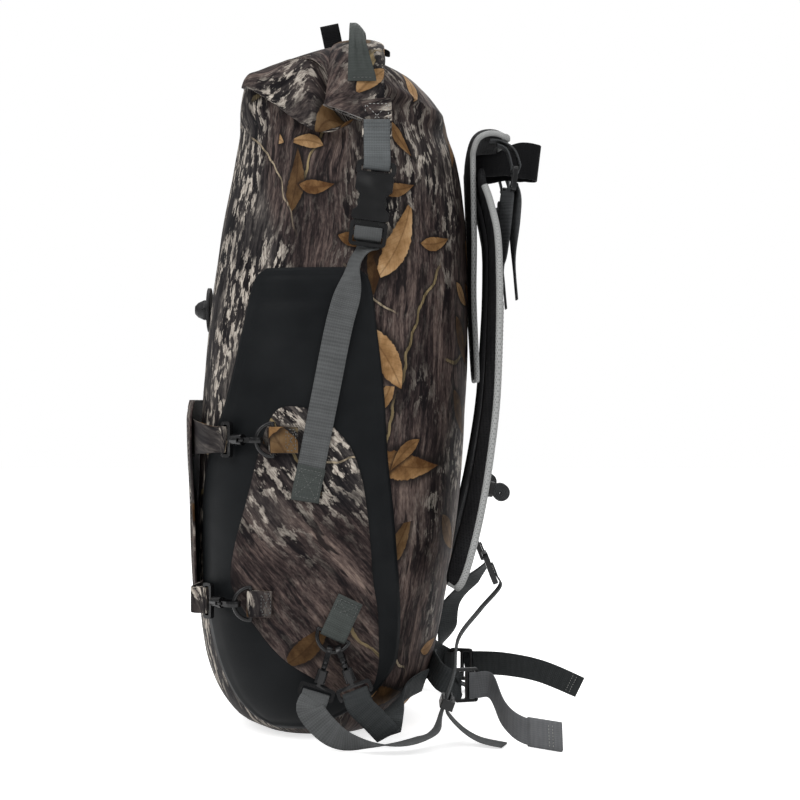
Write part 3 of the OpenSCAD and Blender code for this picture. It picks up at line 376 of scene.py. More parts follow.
def bark_print(name, turn=0.0, shift=(0, 0, 0), pale=0.5, leaves=1.0, front=None):
    """Coated cloth printed with bark, twigs and plain pointed leaves; pale flecks gather at the front."""
    f = Finish(name, UV)
    p = f.moved(turn=turn, shift=shift)
    drift = f.grain(p, 9.0, out=1)
    bend = f.node("ShaderNodeVectorMath", {"operation": "MULTIPLY_ADD"}, {0: drift, 1: (0.022, 0.022, 0), 2: p})

    def drawn(long, scale, detail=3, rough=0.55, move=0.0):
        """Noise drawn out along the grain."""
        return f.grain(f.moved((1, 1 / long, 1), 0, (move, move * 0.7, 0), bend), scale, detail, rough)

    streak = drawn(10, 230, 4, 0.65)
    broad = drawn(6, 48, 3, 0.55, 1.3)
    fine = drawn(4, 620, 2, 0.6, 2.2)
    tone = broad * 0.42 + streak * 0.4 + fine * 0.18
    brown = f.ramp(tone, [(0.38, (0.005, 0.0035, 0.004)), (0.45, (0.016, 0.011, 0.011)), (0.5, (0.042, 0.03, 0.028)),
                          (0.56, (0.094, 0.068, 0.06)), (0.64, (0.2, 0.15, 0.125))])
    dark = f.ramp(tone, [(0.4, (0.004, 0.004, 0.005)), (0.48, (0.014, 0.012, 0.013)), (0.55, (0.036, 0.032, 0.031)),
                         (0.64, (0.12, 0.105, 0.095))])
    zone = f.grain(f.moved((1, 0.5, 1), 0, (4, 2, 0), p), 6.5, 2) + (pale - 0.5) * 0.35
    rear = 1.0
    if front:
        ahead = 1 - f.soft(abs(f.split(f.place)[0] - front[0]), front[1] * 0.6, front[1])
        zone = zone + ahead * 0.16
        rear = 1 - ahead * 0.9
    zone = f.soft(zone, 0.44, 0.6)
    base = f.blend(zone, brown, dark)
    crack = 1 - f.soft(drawn(5, 95, 3, 0.6, 3.1), 0.38, 0.44)
    base = f.blend(crack * 0.85, base, (0.004, 0.003, 0.004))
    fleck = f.soft(drawn(2.6, 150, 4, 0.62, 4.4), 0.505, 0.57) * f.soft(drawn(2, 30, 2, 0.5, 5.2), 0.36, 0.56)
    chalk = f.blend(f.soft(fine, 0.35, 0.65), (0.24, 0.205, 0.18), (0.56, 0.51, 0.44))
    base = f.blend(fleck * (zone * 0.92 + 0.06), base, chalk)
    for lean, pitch, half, sway, tint, move in TWIGS:
        q = f.moved(turn=lean, shift=(move, move, 0), source=p)
        sweep = f.grain(f.moved((0.4, 1, 1), 0, (move * 9, 0, 0), q), 8, 3, 0.5)
        lane = f.math("FRACT", f.split(q)[0] / pitch + sweep * sway)
        near = abs(lane - 0.5) * pitch
        gate = f.soft(f.grain(f.moved((1.5, 0.7, 1), 0, (3 * move, 4, 0), q), 9, 1), 0.5, 0.56)
        rough_edge = near + (fine - 0.5) * half * 1.6
        base = f.blend((1 - f.soft(near, half, half * 3)) * gate * 0.6, base, (0.006, 0.005, 0.005))
        stalk = (1 - f.soft(rough_edge, half * 0.7, half)) * gate
        base = f.blend(stalk, base, f.blend(f.soft(streak, 0.4, 0.6), shaded(tint, 0.4), tint))
    for scale, keep, long, wide, shade in LEAVES:
        cells = f.moved((1, 1, 0), 0, (scale, -scale, 0), p)
        kind = {"voronoi_dimensions": "2D"}
        sett = {"Vector": cells, "Scale": scale, "Randomness": 0.8}
        centre = f.node("ShaderNodeTexVoronoi", kind, sett, "Position")
        lot_x, lot_y = f.split(f.node("ShaderNodeTexVoronoi", kind, sett, "Color"))
        off = f.node("ShaderNodeVectorMath", {"operation": "SUBTRACT"}, {0: cells, 1: centre})
        spun = f.node("ShaderNodeVectorRotate", {"rotation_type": "Z_AXIS"}, {"Vector": off, "Angle": lot_x * 6.28})
        lx, ly = f.split(spun)
        along = lx / long
        curve = ly + along * along * wide * 0.35
        saw = f.grain(spun, 210, 2) * 0.34 + 0.72
        edge = abs(curve) / wide - (1 - along * along) * (along * 0.4 + 0.85) * saw
        picked = f.soft(lot_y - (1 - leaves * rear) * 0.5, keep, keep + 0.01)
        leaf = (1 - f.soft(edge, -0.05, 0.01)) * picked
        rib = f.soft(abs(curve), 0.0003, 0.0012)
        vein = f.soft(abs(f.math("SINE", (abs(curve) * 1.2 - lx) * 430)), 0.05, 0.4)
        own = f.math("SINE", lot_x * 47.0)
        light = f.grain(spun, 46, 4, 0.6) * 0.8 + curve * 9.0 + own * 0.13 + 0.08
        tint = f.ramp(light, [(at, shaded(colour, shade)) for at, colour in LEAF_TINTS])
        tint = f.blend(rib * 0.4 + vein * 0.18 + streak * 0.5 + 0.12, shaded(LEAF_RIB, shade), tint)
        cast = (1 - f.soft(edge, 0.0, 0.55)) * picked
        base = f.blend(cast * 0.8, base, (0.005, 0.004, 0.004))
        base = f.blend(leaf * (0.86 + fine * 0.2), base, tint)
    f.put("Base Color", base)
    f.put("Roughness", f.grain(p, 40, 2) * 0.16 + 0.56)
    f.put("Specular IOR Level", 0.08)
    f.relief(f.grain(p, 1500, 1) * 0.35 + f.grain(p, 70, 3) * 0.65, 0.25, 0.0012)
    return f.mat


def coated_black(name):
    f = Finish(name, UV)
    cloud = f.grain(f.place, 14, 3)
    f.put("Base Color", f.ramp(cloud, [(0.35, (0.0052, 0.006, 0.0068)), (0.65, (0.0098, 0.0108, 0.0118))]))
    f.put("Roughness", f.grain(f.place, 60, 2) * 0.14 + 0.4)
    f.put("Specular IOR Level", 0.07)
    x, y = f.split(f.place)
    weave = f.math("SINE", x * 5200) * f.math("SINE", y * 5200)
    f.relief(weave * 0.12 + cloud + f.grain(f.place, 900, 1) * 0.15, 0.25, 0.001)
    return f.mat


def webbing_cloth(name, colour):
    """Woven strap: fine ribs across it, faint wider bands, and a yarn twist."""
    f = Finish(name, UV)
    x, y = f.split(f.place)
    worn = f.grain(f.place, 90, 3)
    fuzz = f.grain(f.place, 1600, 1)
    rib = f.math("SINE", y * 5200 + worn * 2)
    band = f.math("SINE", y * 1240 + worn * 4)
    yarn = f.math("SINE", x * 4400)
    level = f.soft(rib * 0.2 + band * 0.1 + yarn * 0.1 + 0.5 + (worn - 0.5) * 0.9 + (fuzz - 0.5) * 0.5, 0.0, 1.0)
    f.put("Base Color", f.blend(level, shaded(colour, 0.78), shaded(colour, 1.22)))
    f.put("Roughness", worn * 0.2 + 0.58)
    f.put("Specular IOR Level", 0.08)
    f.relief(rib * 0.5 + yarn * 0.3 + band * 0.3 + fuzz * 0.3, 0.4, 0.0005)
    return f.mat


def edge_tape(name):
    """Pale binding with the small dark dots of an open knit."""
    f = Finish(name, UV)
    x, y = f.split(f.place)
    dots = f.math("SINE", x * 2300) * f.math("SINE", y * 1700)
    soil = f.grain(f.place, 50, 3)
    base = f.blend(f.soft(dots, 0.3, 0.75) * 0.8, (0.32, 0.325, 0.32), (0.08, 0.08, 0.08))
    f.put("Base Color", f.blend(f.soft(soil, 0.45, 0.8) * 0.4, base, (0.2, 0.2, 0.195)))
    f.put("Roughness", soil * 0.15 + 0.7)
    f.relief(dots * -0.6 + f.grain(f.place, 1400, 1) * 0.4, 0.45, 0.0006)
    return f.mat


def pad_mesh(name):
    """Black spacer mesh of the pads."""
    f = Finish(name)
    cells = f.node("ShaderNodeTexVoronoi", {"feature": "F1"}, {"Vector": f.place, "Scale": 420.0, "Randomness": 0.35})
    soil = f.grain(f.place, 30, 3)
    hole = f.soft(cells, 0.25, 0.5)
    knit = f.ramp(soil, [(0.3, (0.011, 0.011, 0.012)), (0.7, (0.022, 0.022, 0.023))])
    f.put("Base Color", f.blend(hole, (0.004, 0.004, 0.0045), knit))
    f.put("Roughness", soil * 0.15 + 0.72)
    f.put("Specular IOR Level", 0.06)
    f.relief(hole + soil * 0.5, 0.5, 0.0007)
    return f.mat


def moulded(name, colour, rough, grain_scale=650, coat=0.0):
    """Moulded or cast part: satin, a little sunk here and there, with rubbed places."""
    f = Finish(name)
    fine = f.grain(f.place, grain_scale, 2)
    rub = f.soft(f.grain(f.place, 55, 4), 0.56, 0.76)
    f.put("Base Color", f.blend(rub * 0.4, colour, shaded(colour, 2.0)))
    f.put("Roughness", fine * 0.06 + rub * 0.1 + (rough - 0.03))
    f.put("Coat Weight", coat)
    f.put("Coat Roughness", 0.2)
    f.put("Specular IOR Level", 0.26)
    f.relief(f.grain(f.place, 32, 1), 0.55, 0.006)
    return f.mat


def painted(name, colour):
    """Satin black paint with bright metal where it has rubbed through."""
    f = Finish(name)
    fine = f.grain(f.place, 500, 2)
    rub = f.soft(f.grain(f.place, 240, 3), 0.69, 0.74)
    f.put("Base Color", f.blend(rub * 0.6, colour, (0.16, 0.16, 0.165)))
    f.put("Metallic", rub * 0.8)
    f.put("Roughness", fine * 0.1 + 0.2)
    f.put("Specular IOR Level", 0.3)
    f.relief(fine, 0.1, 0.0003)
    return f.mat


def fibre(name, dark, pale, scale, detail):
    """Loose fibre: thread, or the cut edge of cloth."""
    f = Finish(name)
    fray = f.grain(f.place, scale, detail)
    f.put("Base Color", f.blend(fray, dark, pale))
    f.put("Roughness", fray * 0.2 + 0.6)
    return f.mat


def thread(name, colour):
    return fibre(name, shaded(colour, 0.7), shaded(colour, 1.25), 2200, 1)


BARK = bark_print("bark_print_shell", 0.0, (0, 0, 0), 0.42, 1.0, (-0.235, 0.19))
BARK_HOOD = bark_print("bark_print_hood", math.pi / 2, (0.77, 0.2, 0), 0.62, 0.6)
BARK_PATCH = bark_print("bark_print_patch", -0.7, (0.31, 0.17, 0), 0.42, 0.5)
BARK_ROLL = bark_print("bark_print_roll", 0.3, (0.52, 0.4, 0), 0.5, 1.0)
BARK_TABS = bark_print("bark_print_tabs", 1.2, (0.11, 0.63, 0), 0.5, 0.6)
BARK_PANEL = bark_print("bark_print_panel", 0.0, (0.93, 0.5, 0), 0.5, 0.8)
BARK_TAN = bark_print("bark_print_tan", 0.4, (0.05, 0.9, 0), 0.5, 1.3)
BLACK = coated_black("coated_black")
GREY_WEB = webbing_cloth("grey_webbing", (0.079, 0.082, 0.083))
PALE_WEB = webbing_cloth("tab_webbing_grey", (0.092, 0.099, 0.102))
GREEN_WEB = webbing_cloth("handle_webbing", (0.05, 0.056, 0.053))
# Black webbing for the pull tabs and haul loop, and painted shade on the pads' inner binding.
BLACK_AND_SHADE_WEB = webbing_cloth("black_webbing", (0.0052, 0.0052, 0.0058))
DARK_WEB = webbing_cloth("dark_webbing", (0.024, 0.025, 0.026))
# Paler belt webbing for the near loose end: painted light.
BELT_LIT_WEB = webbing_cloth("belt_webbing_painted_light", (0.125, 0.128, 0.133))
# Slate webbing: the stabilisers and the belt, and painted shade on the far lower strap.
SLATE_AND_SHADE_WEB = webbing_cloth("slate_and_shade_webbing", (0.034, 0.037, 0.038))
MID_WEB = webbing_cloth("harness_webbing", (0.055, 0.057, 0.059))
TAPE = edge_tape("edge_tape")
MESH = pad_mesh("pad_mesh")
PLASTIC = moulded("black_plastic", (0.0042, 0.0043, 0.0047), 0.3, 650, 0.1)
ARM_PLASTIC = moulded("black_plastic_arms", (0.0085, 0.0095, 0.009), 0.36, 650, 0.05)
RUBBER = moulded("valve_rubber", (0.009, 0.009, 0.0095), 0.46, 900)
STRIP = moulded("stiffener_strip", (0.03, 0.03, 0.032), 0.5, 800)
PAINT = painted("black_paint", (0.0045, 0.0045, 0.005))
THREAD = thread("pale_thread", (0.30, 0.30, 0.285))
DARK_THREAD = thread("dark_thread", (0.09, 0.093, 0.09))
CUT = fibre("cut_edge", (0.22, 0.21, 0.2), (0.5, 0.49, 0.47), 900, 2)


TINY = 1e-6
THREAD_D, STITCH_SHARE = 0.75, 0.68


class Piece:
    """A mesh made of mapped grids; places are given in millimetres."""

    def __init__(self, name):
        self.name, self.sewn = name, False
        self.bm = bmesh.new()
        self.uv = self.bm.loops.layers.uv.new(UV)

    def grid(self, nu, nv, place, size=(1, 1), lay=None, wrap=False, caps=False, mat=0, cap_mat=0, turned=False):
        """Lays nu by nv faces where place(u, v) says; lay(u, v) or size gives the cloth's flat measure."""
        bm = self.bm
        verts = bmesh.ops.create_grid(bm, x_segments=nu, y_segments=nv, size=0.5)["verts"]
        own = set(verts)
        faces = [f for f in bm.faces if f.verts[0] in own]
        for f in faces:
            middle = f.calc_center_median()
            f.material_index = mat(middle.x + 0.5, middle.y + 0.5) if callable(mat) else mat
            for loop in f.loops:
                u, v = loop.vert.co.x + 0.5, loop.vert.co.y + 0.5
                flat = lay(u, v) if lay else (u * size[0], v * size[1])
                loop[self.uv].uv = (flat[0] * MM, flat[1] * MM)
        seam = []
        for v in verts:
            u, w = v.co.x + 0.5, v.co.y + 0.5
            if wrap and (u < TINY or u > 1 - TINY):
                seam.append(v)
                u = 0.0
            v.co = Vector(place(u, w)) * MM
        if turned:
            bmesh.ops.reverse_faces(bm, faces=faces)
        if wrap:
            bmesh.ops.remove_doubles(bm, verts=seam, dist=1e-7)
        if caps:
            rim = list({e for f in faces if f.is_valid for e in f.edges if len(e.link_faces) == 1})
            for f in bmesh.ops.holes_fill(bm, edges=rim, sides=0)["faces"]:
                f.material_index = cap_mat

    def band(self, path, across, section, scale=None, side=1, mat=0):
        """A closed section swept along a path; across is the direction of the section's width."""
        count = len(path) - 1
        m = len(section)
        around = sum(math.dist(a, b) for a, b in zip(section, section[1:] + section[:1]))
        spots = []
        for i, p in enumerate(path):
            t = tangent(path, i)
            u = square_to(Vector(across[i] if isinstance(across, list) else across), t)
            k = scale[i] if scale else 1
            spots.append((p, u * k, t.cross(u)))

        def place(a, b):
            p, u, n = spots[round(b * count)]
            q = section[round(a * m) % m]
            return flip(p + u * q[0] + n * q[1], side)

        self.grid(m, count, place, (around, lengths(path)[-1]), wrap=True, caps=True, mat=mat, turned=side < 0)

    def stitch(self, a, b, up):
        """One stitch of thread from a to b, lying on a surface that faces up."""
        self.sewn = True
        x = unit(b - a)
        z = square_to(up, x)
        turn = Matrix((x, z.cross(x), z)).transposed().to_4x4()
        place = Matrix.Translation((a + b) / 2 * MM) @ turn
        shape = place @ Matrix.Diagonal(((b - a).length / 2 * MM, THREAD_D / 2 * MM, THREAD_D * 0.42 * MM, 1))
        bmesh.ops.create_uvsphere(self.bm, u_segments=6, v_segments=4, radius=1, matrix=shape)

    def stitch_row(self, path, up, step):
        """Stitches at even steps along a line of points, on a surface that faces up."""
        run = lengths(path)
        long = step * STITCH_SHARE
        at = step * 0.3
        while at + long < run[-1]:
            ends = []
            for d in (at, at + long):
                i = max(k for k in range(len(run)) if run[k] <= d + 1e-9)
                i = min(i, len(run) - 2)
                t = (d - run[i]) / max(run[i + 1] - run[i], 1e-9)
                ends.append(path[i].lerp(path[i + 1], t))
            self.stitch(ends[0], ends[1], up)
            at += step

    def done(self, body, mats, stands_for=(), slot=None, thick=0.0, sharp=None):
        """Makes the object: an open sheet where it is given a thickness, stitches or a closed solid where not."""
        if not (thick or self.sewn):
            bmesh.ops.recalc_face_normals(self.bm, faces=self.bm.faces)
        mesh = bpy.data.meshes.new(self.name)
        for f in self.bm.faces:
            f.smooth = True
        self.bm.to_mesh(mesh)
        self.bm.free()
        obj = bpy.data.objects.new(self.name, mesh)
        scene.collection.objects.link(obj)
        for m in mats if isinstance(mats, (list, tuple)) else [mats]:
            mesh.materials.append(m)
        if sharp:
            mesh.set_sharp_from_angle(angle=math.radians(sharp))
        if thick:
            wall = obj.modifiers.new("wall", "SOLIDIFY")
            wall.thickness, wall.offset = thick * MM, -1
        if body:
            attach(obj, body)
        if stands_for:
            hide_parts(*stands_for)
        return obj


def strap_section(w, t):
    """A flat strap with rounded selvedges."""
    r = t / 2
    x = w / 2 - r * 0.6
    cells = [-0.66, -0.33, 0, 0.33, 0.66]
    low = [(-x, -r)] + [(x * c, -r) for c in cells] + [(x, -r)]
    high = [(-a, -b) for a, b in low]
    return low + [(w / 2 - 0.1 * r, -r * 0.55), (w / 2, 0), (w / 2 - 0.1 * r, r * 0.55)] + high + [
        (-w / 2 + 0.1 * r, r * 0.55), (-w / 2, 0), (-w / 2 + 0.1 * r, -r * 0.55)]


WEB = strap_section(WEB_W, WEB_T)
NARROW_WEB = strap_section(WEB_W - 1, WEB_T)
LIFT_WEB = strap_section(LIFT_W, WEB_T)


def oval_section(w, t, n=12):
    return [(w / 2 * math.cos(2 * math.pi * i / n), t / 2 * math.sin(2 * math.pi * i / n)) for i in range(n)]


def mirrored(piece, *args, **words):
    for side in (1, -1):
        piece.band(*args, side=side, **words)


# Bag, its base and the sheets on its sides

ROLL_Y = BAG_D / 4 * (BACKS[-1][1] - FRONTS[-1][1])
ROLL_Z = BAG_H + 0.5 + ROLL_T / 2
EAR_X = BAG_W / 2 * straight(WIDTHS, hz(0.935)) + 5.5 + ROLL_T / 2
ROLL_FLAT = EAR_X - ROLL_BEND
EAR_Z = ROLL_Z - ROLL_BEND - ROLL_DROP
RIDGE_BEND = ROLL_BEND - ROLL_T / 2 - 1


def side_skin(y, z):
    """How far out the cloth of a side stands."""
    s = Section(z, rounded)
    k = s.bulge((y - s.mid) / s.d)
    return s.w * k - dent(y, z) * ease(0.2, 0.6, k)


def skin(turn, z):
    """A place on the cloth of the bag, by its turn about the bag and its height."""
    s = Section(z, rounded)
    x, y = s.ring(turn)
    x -= math.copysign(dent(y, z) * ease(0.2, 0.6, abs(x) / s.w), x)
    slack = 1.0 + noise.noise(V(x / 60, z / 75, 5.5)) * 1.3 + noise.noise(V(x / 22, z / 40, 1.7)) * 0.5
    y -= math.copysign(max(0.0, slack) * ease(0.3, 0.8, abs(y - s.mid) / s.d), y - s.mid)
    return V(x, y, z)


def ridge(q):
    """Where the cloth runs into the roll, from the middle (0) to the foot of an ear (1)."""
    arc = RIDGE_BEND * math.pi / 2
    top = ROLL_Z - ROLL_T / 2 - 1
    run = q * (ROLL_FLAT + arc + ROLL_DROP)
    if run < ROLL_FLAT:
        return run, top
    if run < ROLL_FLAT + arc:
        a = (run - ROLL_FLAT) / RIDGE_BEND
        return ROLL_FLAT + RIDGE_BEND * math.sin(a), top - RIDGE_BEND * (1 - math.cos(a))
    return ROLL_FLAT + RIDGE_BEND, top - RIDGE_BEND - (run - ROLL_FLAT - arc)


NECK_Z, NECK_TOP, CREASE_Z = 620, 640, 567
TUCK_Y, TUCK_Z = 95, 584


def upper_edge(turn):
    """The fold along the top of the neck, where the front and sides turn in towards the roll."""
    s = Section(NECK_Z, rounded)
    x, y = s.ring(turn)
    return V(x, y, min(NECK_TOP, NECK_Z - 1 + 0.31 * max(0, y + 71)))


def brim(turn):
    """Height of the crease under the folded side of the neck."""
    s = math.sin(turn)
    if s >= 0:
        return CREASE_Z + 21 * ease(0, 0.6, s)
    return min(CREASE_Z + 53 * ease(0.08, 0.9, -s), upper_edge(turn).z - 8)


def roll_up(q, side):
    """Which way is out from the roll at a share of its length."""
    a = (q * (ROLL_FLAT + RIDGE_BEND * math.pi / 2 + ROLL_DROP) - ROLL_FLAT) / RIDGE_BEND
    a = min(max(a, 0), math.pi / 2)
    return V(math.copysign(math.sin(a), side), 0, math.cos(a))


def pinched(p):
    """The tuck behind each ear, where the folded cloth draws in to a point."""
    reach = TUCK_Y - p.y
    deep = ease(-1, 26, reach) * ease(38, 54, p.y) * ease(40, 110, abs(p.x))
    if deep <= 0 or p.z < TUCK_Z - 44:
        return p
    high = (p.z - TUCK_Z + reach * 0.09) / (2 + 0.39 * max(0, reach))
    rim = 5.5 * math.exp(-((high - 1.2) / 0.4) ** 2)
    hollow = 9.0 * ease(-1.1, 0.7, high) * (1 - ease(0.7, 1.05, high))
    return p + V(math.copysign(0.85, p.x), 0.5, 0.1) * ((rim - hollow) * deep)


GIRTH, HOOD_LONG = 940, 130


def make_bag():
    """The shell, with its seam at the middle of the back, and the hood that folds over to the roll."""
    piece = Piece("bag_body")
    around, body, hood = 192, 92, 34
    rows = body + hood

    def spot(u, v):
        turn = (u + 0.25) * 2 * math.pi
        row = round(v * rows)
        top = brim(turn)
        c, s = math.cos(turn), math.sin(turn)
        wing = ease(-0.12, 0.06, -s) * ease(0.5, 0.75, abs(c))
        tuck = V(math.copysign(7.0 * wing, c), -4.0 * wing, 0)
        if row <= body:
            z = 2 + (top - 2) * (row / body) ** 1.12
            return pinched(skin(turn, z) - tuck * ease(top - 42, top - 3, z)), z
        t = (row - body) / hood
        start = skin(turn, top) - tuck
        q = 1 - math.asin(min(1, abs(s))) * 2 / math.pi
        x, z = ridge(q)
        end = V(math.copysign(x, c), ROLL_Y, z)
        crown = math.sin(math.pi * t)
        pleat = noise.noise(V(q * 13 * math.copysign(1, c), t * 1.6, 2 + math.copysign(3, s)))
        if s > 0.12:
            p = start.lerp(end, t) + V(0, 0.6, 0.8) * (12 * crown * ease(0, 0.5, s) + 1.6 * pleat * crown)
            return pinched(p), top + t * (end - start).length
        end += V(0, -25, 0) * ease(0.02, 0.3, -s) + roll_up(q, c) * (11 * ease(0.02, 0.3, -s))
        edge = upper_edge(turn)
        edge = edge.lerp(start.lerp(end, 0.4), 1 - ease(0.04, 0.26, -s))
        lip = start + tuck * 2.1 + V(0, 0, 2 - 9 * wing)
        face = lip.lerp(edge, 0.55) + V(math.copysign(5.0 * wing, c), -2.0 * wing, 3 * wing)
        line = [start, lip, face, edge, edge.lerp(end, 0.35) + AZ, edge.lerp(end, 0.7) + AZ, end]
        span = t * (len(line) - 1)
        i = min(int(span), len(line) - 2)
        p = between(line, i, span - i)
        p += V(math.copysign(0.4, c), -0.3, 0.8) * (2.6 * pleat * crown)
        return p, top + t * HOOD_LONG

    def lay(u, v):
        return (u - 0.75) * GIRTH, spot(u, v)[1]

    piece.grid(around, rows, lambda u, v: spot(u, v)[0], lay=lay, wrap=True,
               mat=lambda u, v: 1 if v * rows > body and 0.25 < u < 0.75 else 0)
    bmesh.ops.remove_doubles(piece.bm, verts=piece.bm.verts, dist=TINY)
    bmesh.ops.holes_fill(piece.bm, edges=[e for e in piece.bm.edges if e.is_boundary], sides=0)
    obj = piece.done(None, [BARK, BARK_HOOD], ["bag_shell"], "camo_fabric")
    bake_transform(obj)


def make_base():
    piece = Piece("bag_base")
    s = Section(0)
    profile = [(0.04, 0), (0.5, 0), (0.9, 0), (0.97, 0.15), (0.993, 0.6), (1, 1.1), (0.99, 1.6), (0.9, 1.9),
               (0.5, 1.9), (0.04, 1.9)]

    def place(u, v):
        k, z = profile[round(v * (len(profile) - 1))]
        x, y = s.ring(u * 2 * math.pi)
        return V(x * k * (s.w - 1) / s.w, s.mid + (y - s.mid) * k * (s.d - 1) / s.d, z)

    piece.grid(96, len(profile) - 1, place, size=(500, 200), wrap=True, caps=True)
    piece.done("bag", BLACK, ["base_panel"], "black_fabric")


# Edges of the side sheets: share of the height, then share of half the depth
PANEL_LEFT = [(0.016, -0.38), (0.035, -0.55), (0.071, -0.70), (0.126, -0.82), (0.181, -0.885), (0.24, -0.93),
              (0.341, -0.93), (0.41, -0.885), (0.497, -0.735), (0.6, -0.61), (0.66, -0.54), (0.676, -0.505),
              (0.686, -0.43)]
PANEL_RIGHT = [(0.016, -0.15), (0.035, 0.04), (0.071, 0.31), (0.126, 0.48), (0.181, 0.50), (0.259, 0.48),
               (0.341, 0.45), (0.42, 0.41), (0.497, 0.39), (0.6, 0.335), (0.66, 0.295), (0.676, 0.26), (0.686, 0.18)]
PATCH_LEFT = [(0.068, 0.1), (0.09, -0.04), (0.126, -0.31), (0.17, -0.50), (0.21, -0.64), (0.24, -0.695),
              (0.283, -0.665), (0.354, -0.57), (0.418, -0.49), (0.455, -0.435), (0.475, -0.385),
              (0.484, -0.345), (0.488, -0.29)]
PATCH_RIGHT = [(0.068, 0.22), (0.09, 0.32), (0.126, 0.35), (0.184, 0.345), (0.24, 0.31), (0.297, 0.29),
               (0.368, 0.25), (0.426, 0.165), (0.462, 0.02), (0.478, -0.07), (0.485, -0.15),
               (0.488, -0.24)]


SHEET_T = 1.2


def side_sheet(name, left, right, off, mat, slot, node, bead):
    """A sheet on each side of the bag, with a raised bead and a groove along its rim."""
    piece = Piece(name)
    lo, hi = hz(left[0][0]), hz(left[-1][0])
    across, up = 46, 84

    def spot(u, v):
        z = lo + (hi - lo) * (0.5 - 0.5 * math.cos(math.pi * v))
        y0, y1 = (rounded(edge, z / BAG_H) * BAG_D / 2 for edge in (left, right))
        return y0 + (y1 - y0) * u, z, y1 - y0

    for side in (1, -1):
        def place(u, v):
            y, z, wide = spot(u, v)
            rim = min(u * wide, (1 - u) * wide, z - lo, hi - z)
            lift = off + bead * math.exp(-((rim - 3.2) / 1.8) ** 2) - 0.7 * math.exp(-((rim - 6.5) / 2.2) ** 2)
            return V(side * (side_skin(y, z) + lift), y, z)

        piece.grid(across, up, place, lay=lambda u, v: spot(u, v)[:2], turned=side < 0)
    piece.done("bag", mat, [node], slot, thick=SHEET_T)


# Rolled top with its end tabs, loops and handle

def arch(flat=8, bend=14, drop=6):
    """The middle line of the roll, from the foot of one ear to the other."""
    half = [V(ROLL_FLAT * i / flat, ROLL_Y, ROLL_Z) for i in range(flat)]
    for i in range(bend):
        a = math.pi / 2 * i / bend
        half.append(V(ROLL_FLAT + ROLL_BEND * math.sin(a), ROLL_Y, ROLL_Z - ROLL_BEND + ROLL_BEND * math.cos(a)))
    half += [V(EAR_X, ROLL_Y, ROLL_Z - ROLL_BEND - ROLL_DROP * i / drop) for i in range(drop + 1)]
    return [flip(p, -1) for p in half[:0:-1]] + half


def spiral(turns, inset=0.0):
    """The roll's section after some turns."""
    r = 1 - 0.68 * turns / ROLL_TURNS
    t = math.radians(-90 - 360 * turns)
    return (ROLL_W / 2 * r - inset) * math.cos(t), (ROLL_T / 2 * r - inset) * math.sin(t)


ROLL_SIDE = spiral(0.5)[1]
TAB_X = EAR_X + ROLL_SIDE + 0.4 + WEB_T / 2
TAB_Y = ROLL_Y + 16


def make_roll():
    piece = Piece("rolled_top")
    path = arch()
    run = lengths(path)
    count = len(path) - 1
    steps = round(ROLL_TURNS * 30)
    outer, inner = ([spiral(ROLL_TURNS * i / steps, inset) for i in range(steps + 1)] for inset in (0, SHEET_T))
    section = (outer + inner[::-1])[::-1]
    m = len(section)
    around = sum(math.dist(a, b) for a, b in zip(section, section[1:]))

    def place(a, b):
        i = round(b * count)
        p, t = path[i], tangent(path, i)
        q = section[round(a * m) % m]
        near = min(run[i], run[-1] - run[i])
        end = math.exp(-near / 15)
        away = t if b > 0.5 else -t
        hollow = noise.noise(V(p.x / 38, q[0] / 30, p.z / 38)) * 1.1 * (1 - end)
        width = 1 + 0.05 * noise.noise(V(p.x / 55, 0, 7.7)) - 0.03
        fore = max(0, -q[0] / 30)
        if q[0] < 0:
            width += 0.22 * math.exp(-near / 34)
        rise = q[1] * (1 + 0.25 * end) + 2 * end + 8 * fore * end + hollow * (1 if q[1] > 0 else -0.2)
        return p + AY * (q[0] * width) + t.cross(AY) * rise + away * (q[0] * 0.42 * end)

    piece.grid(m, count, place, size=(around, run[-1]), wrap=True, caps=True, cap_mat=1)
    piece.done("closure", [BARK_ROLL, CUT], ["roll_top"], "camo_fabric", sharp=50)


BUCKLE_LEAN = math.radians(7.4)
BUCKLE_DIR = V(0, math.sin(BUCKLE_LEAN), math.cos(BUCKLE_LEAN))
BAR_V = 50.0
MOUTH = V(TAB_X + 1.4, TAB_Y, EAR_Z - 44) - BUCKLE_DIR * BAR_V


def on_buckle(u, v, w):
    """A place by the buckle: across it, along it and out from its face."""
    return MOUTH + V(w, 0, 0) + BUCKLE_DIR * v + V(0, math.cos(BUCKLE_LEAN), -math.sin(BUCKLE_LEAN)) * u


def stitched_box(piece, centre, x, y, up, wide, high, step=3.6):
    """A sewn box, with crossed rows inside it, on a flat place that faces up."""
    c = [centre + x * (sx * wide / 2) + y * (sy * high / 2) for sx, sy in ((-1, -1), (1, -1), (1, 1), (-1, 1))]
    for a, b in ((0, 1), (1, 2), (2, 3), (3, 0), (0, 2), (1, 3)):
        piece.stitch_row([c[a], c[b]], up, step)


def make_end_tabs():
    piece, sewn = Piece("roll_end_tab_pair"), Piece("roll_end_tab_stitching")
    path = smooth([(TAB_X, TAB_Y + dy, EAR_Z + dz) for dy, dz in ((-1, 17), (0, 8), (0, -4), (0, -20))], 5)
    mirrored(piece, path, AY, strap_section(WEB_W + 2, WEB_T))
    for side in (1, -1):
        at = flip(V(TAB_X + WEB_T / 2 + 0.15, TAB_Y, EAR_Z + 1.5), side)
        stitched_box(sewn, at, AY, AZ, AX * side, 21, 22)
    piece.done("closure", BARK_TABS, ["roll_end_tabs"], "camo_fabric")
    sewn.done("closure", THREAD, slot="binding")


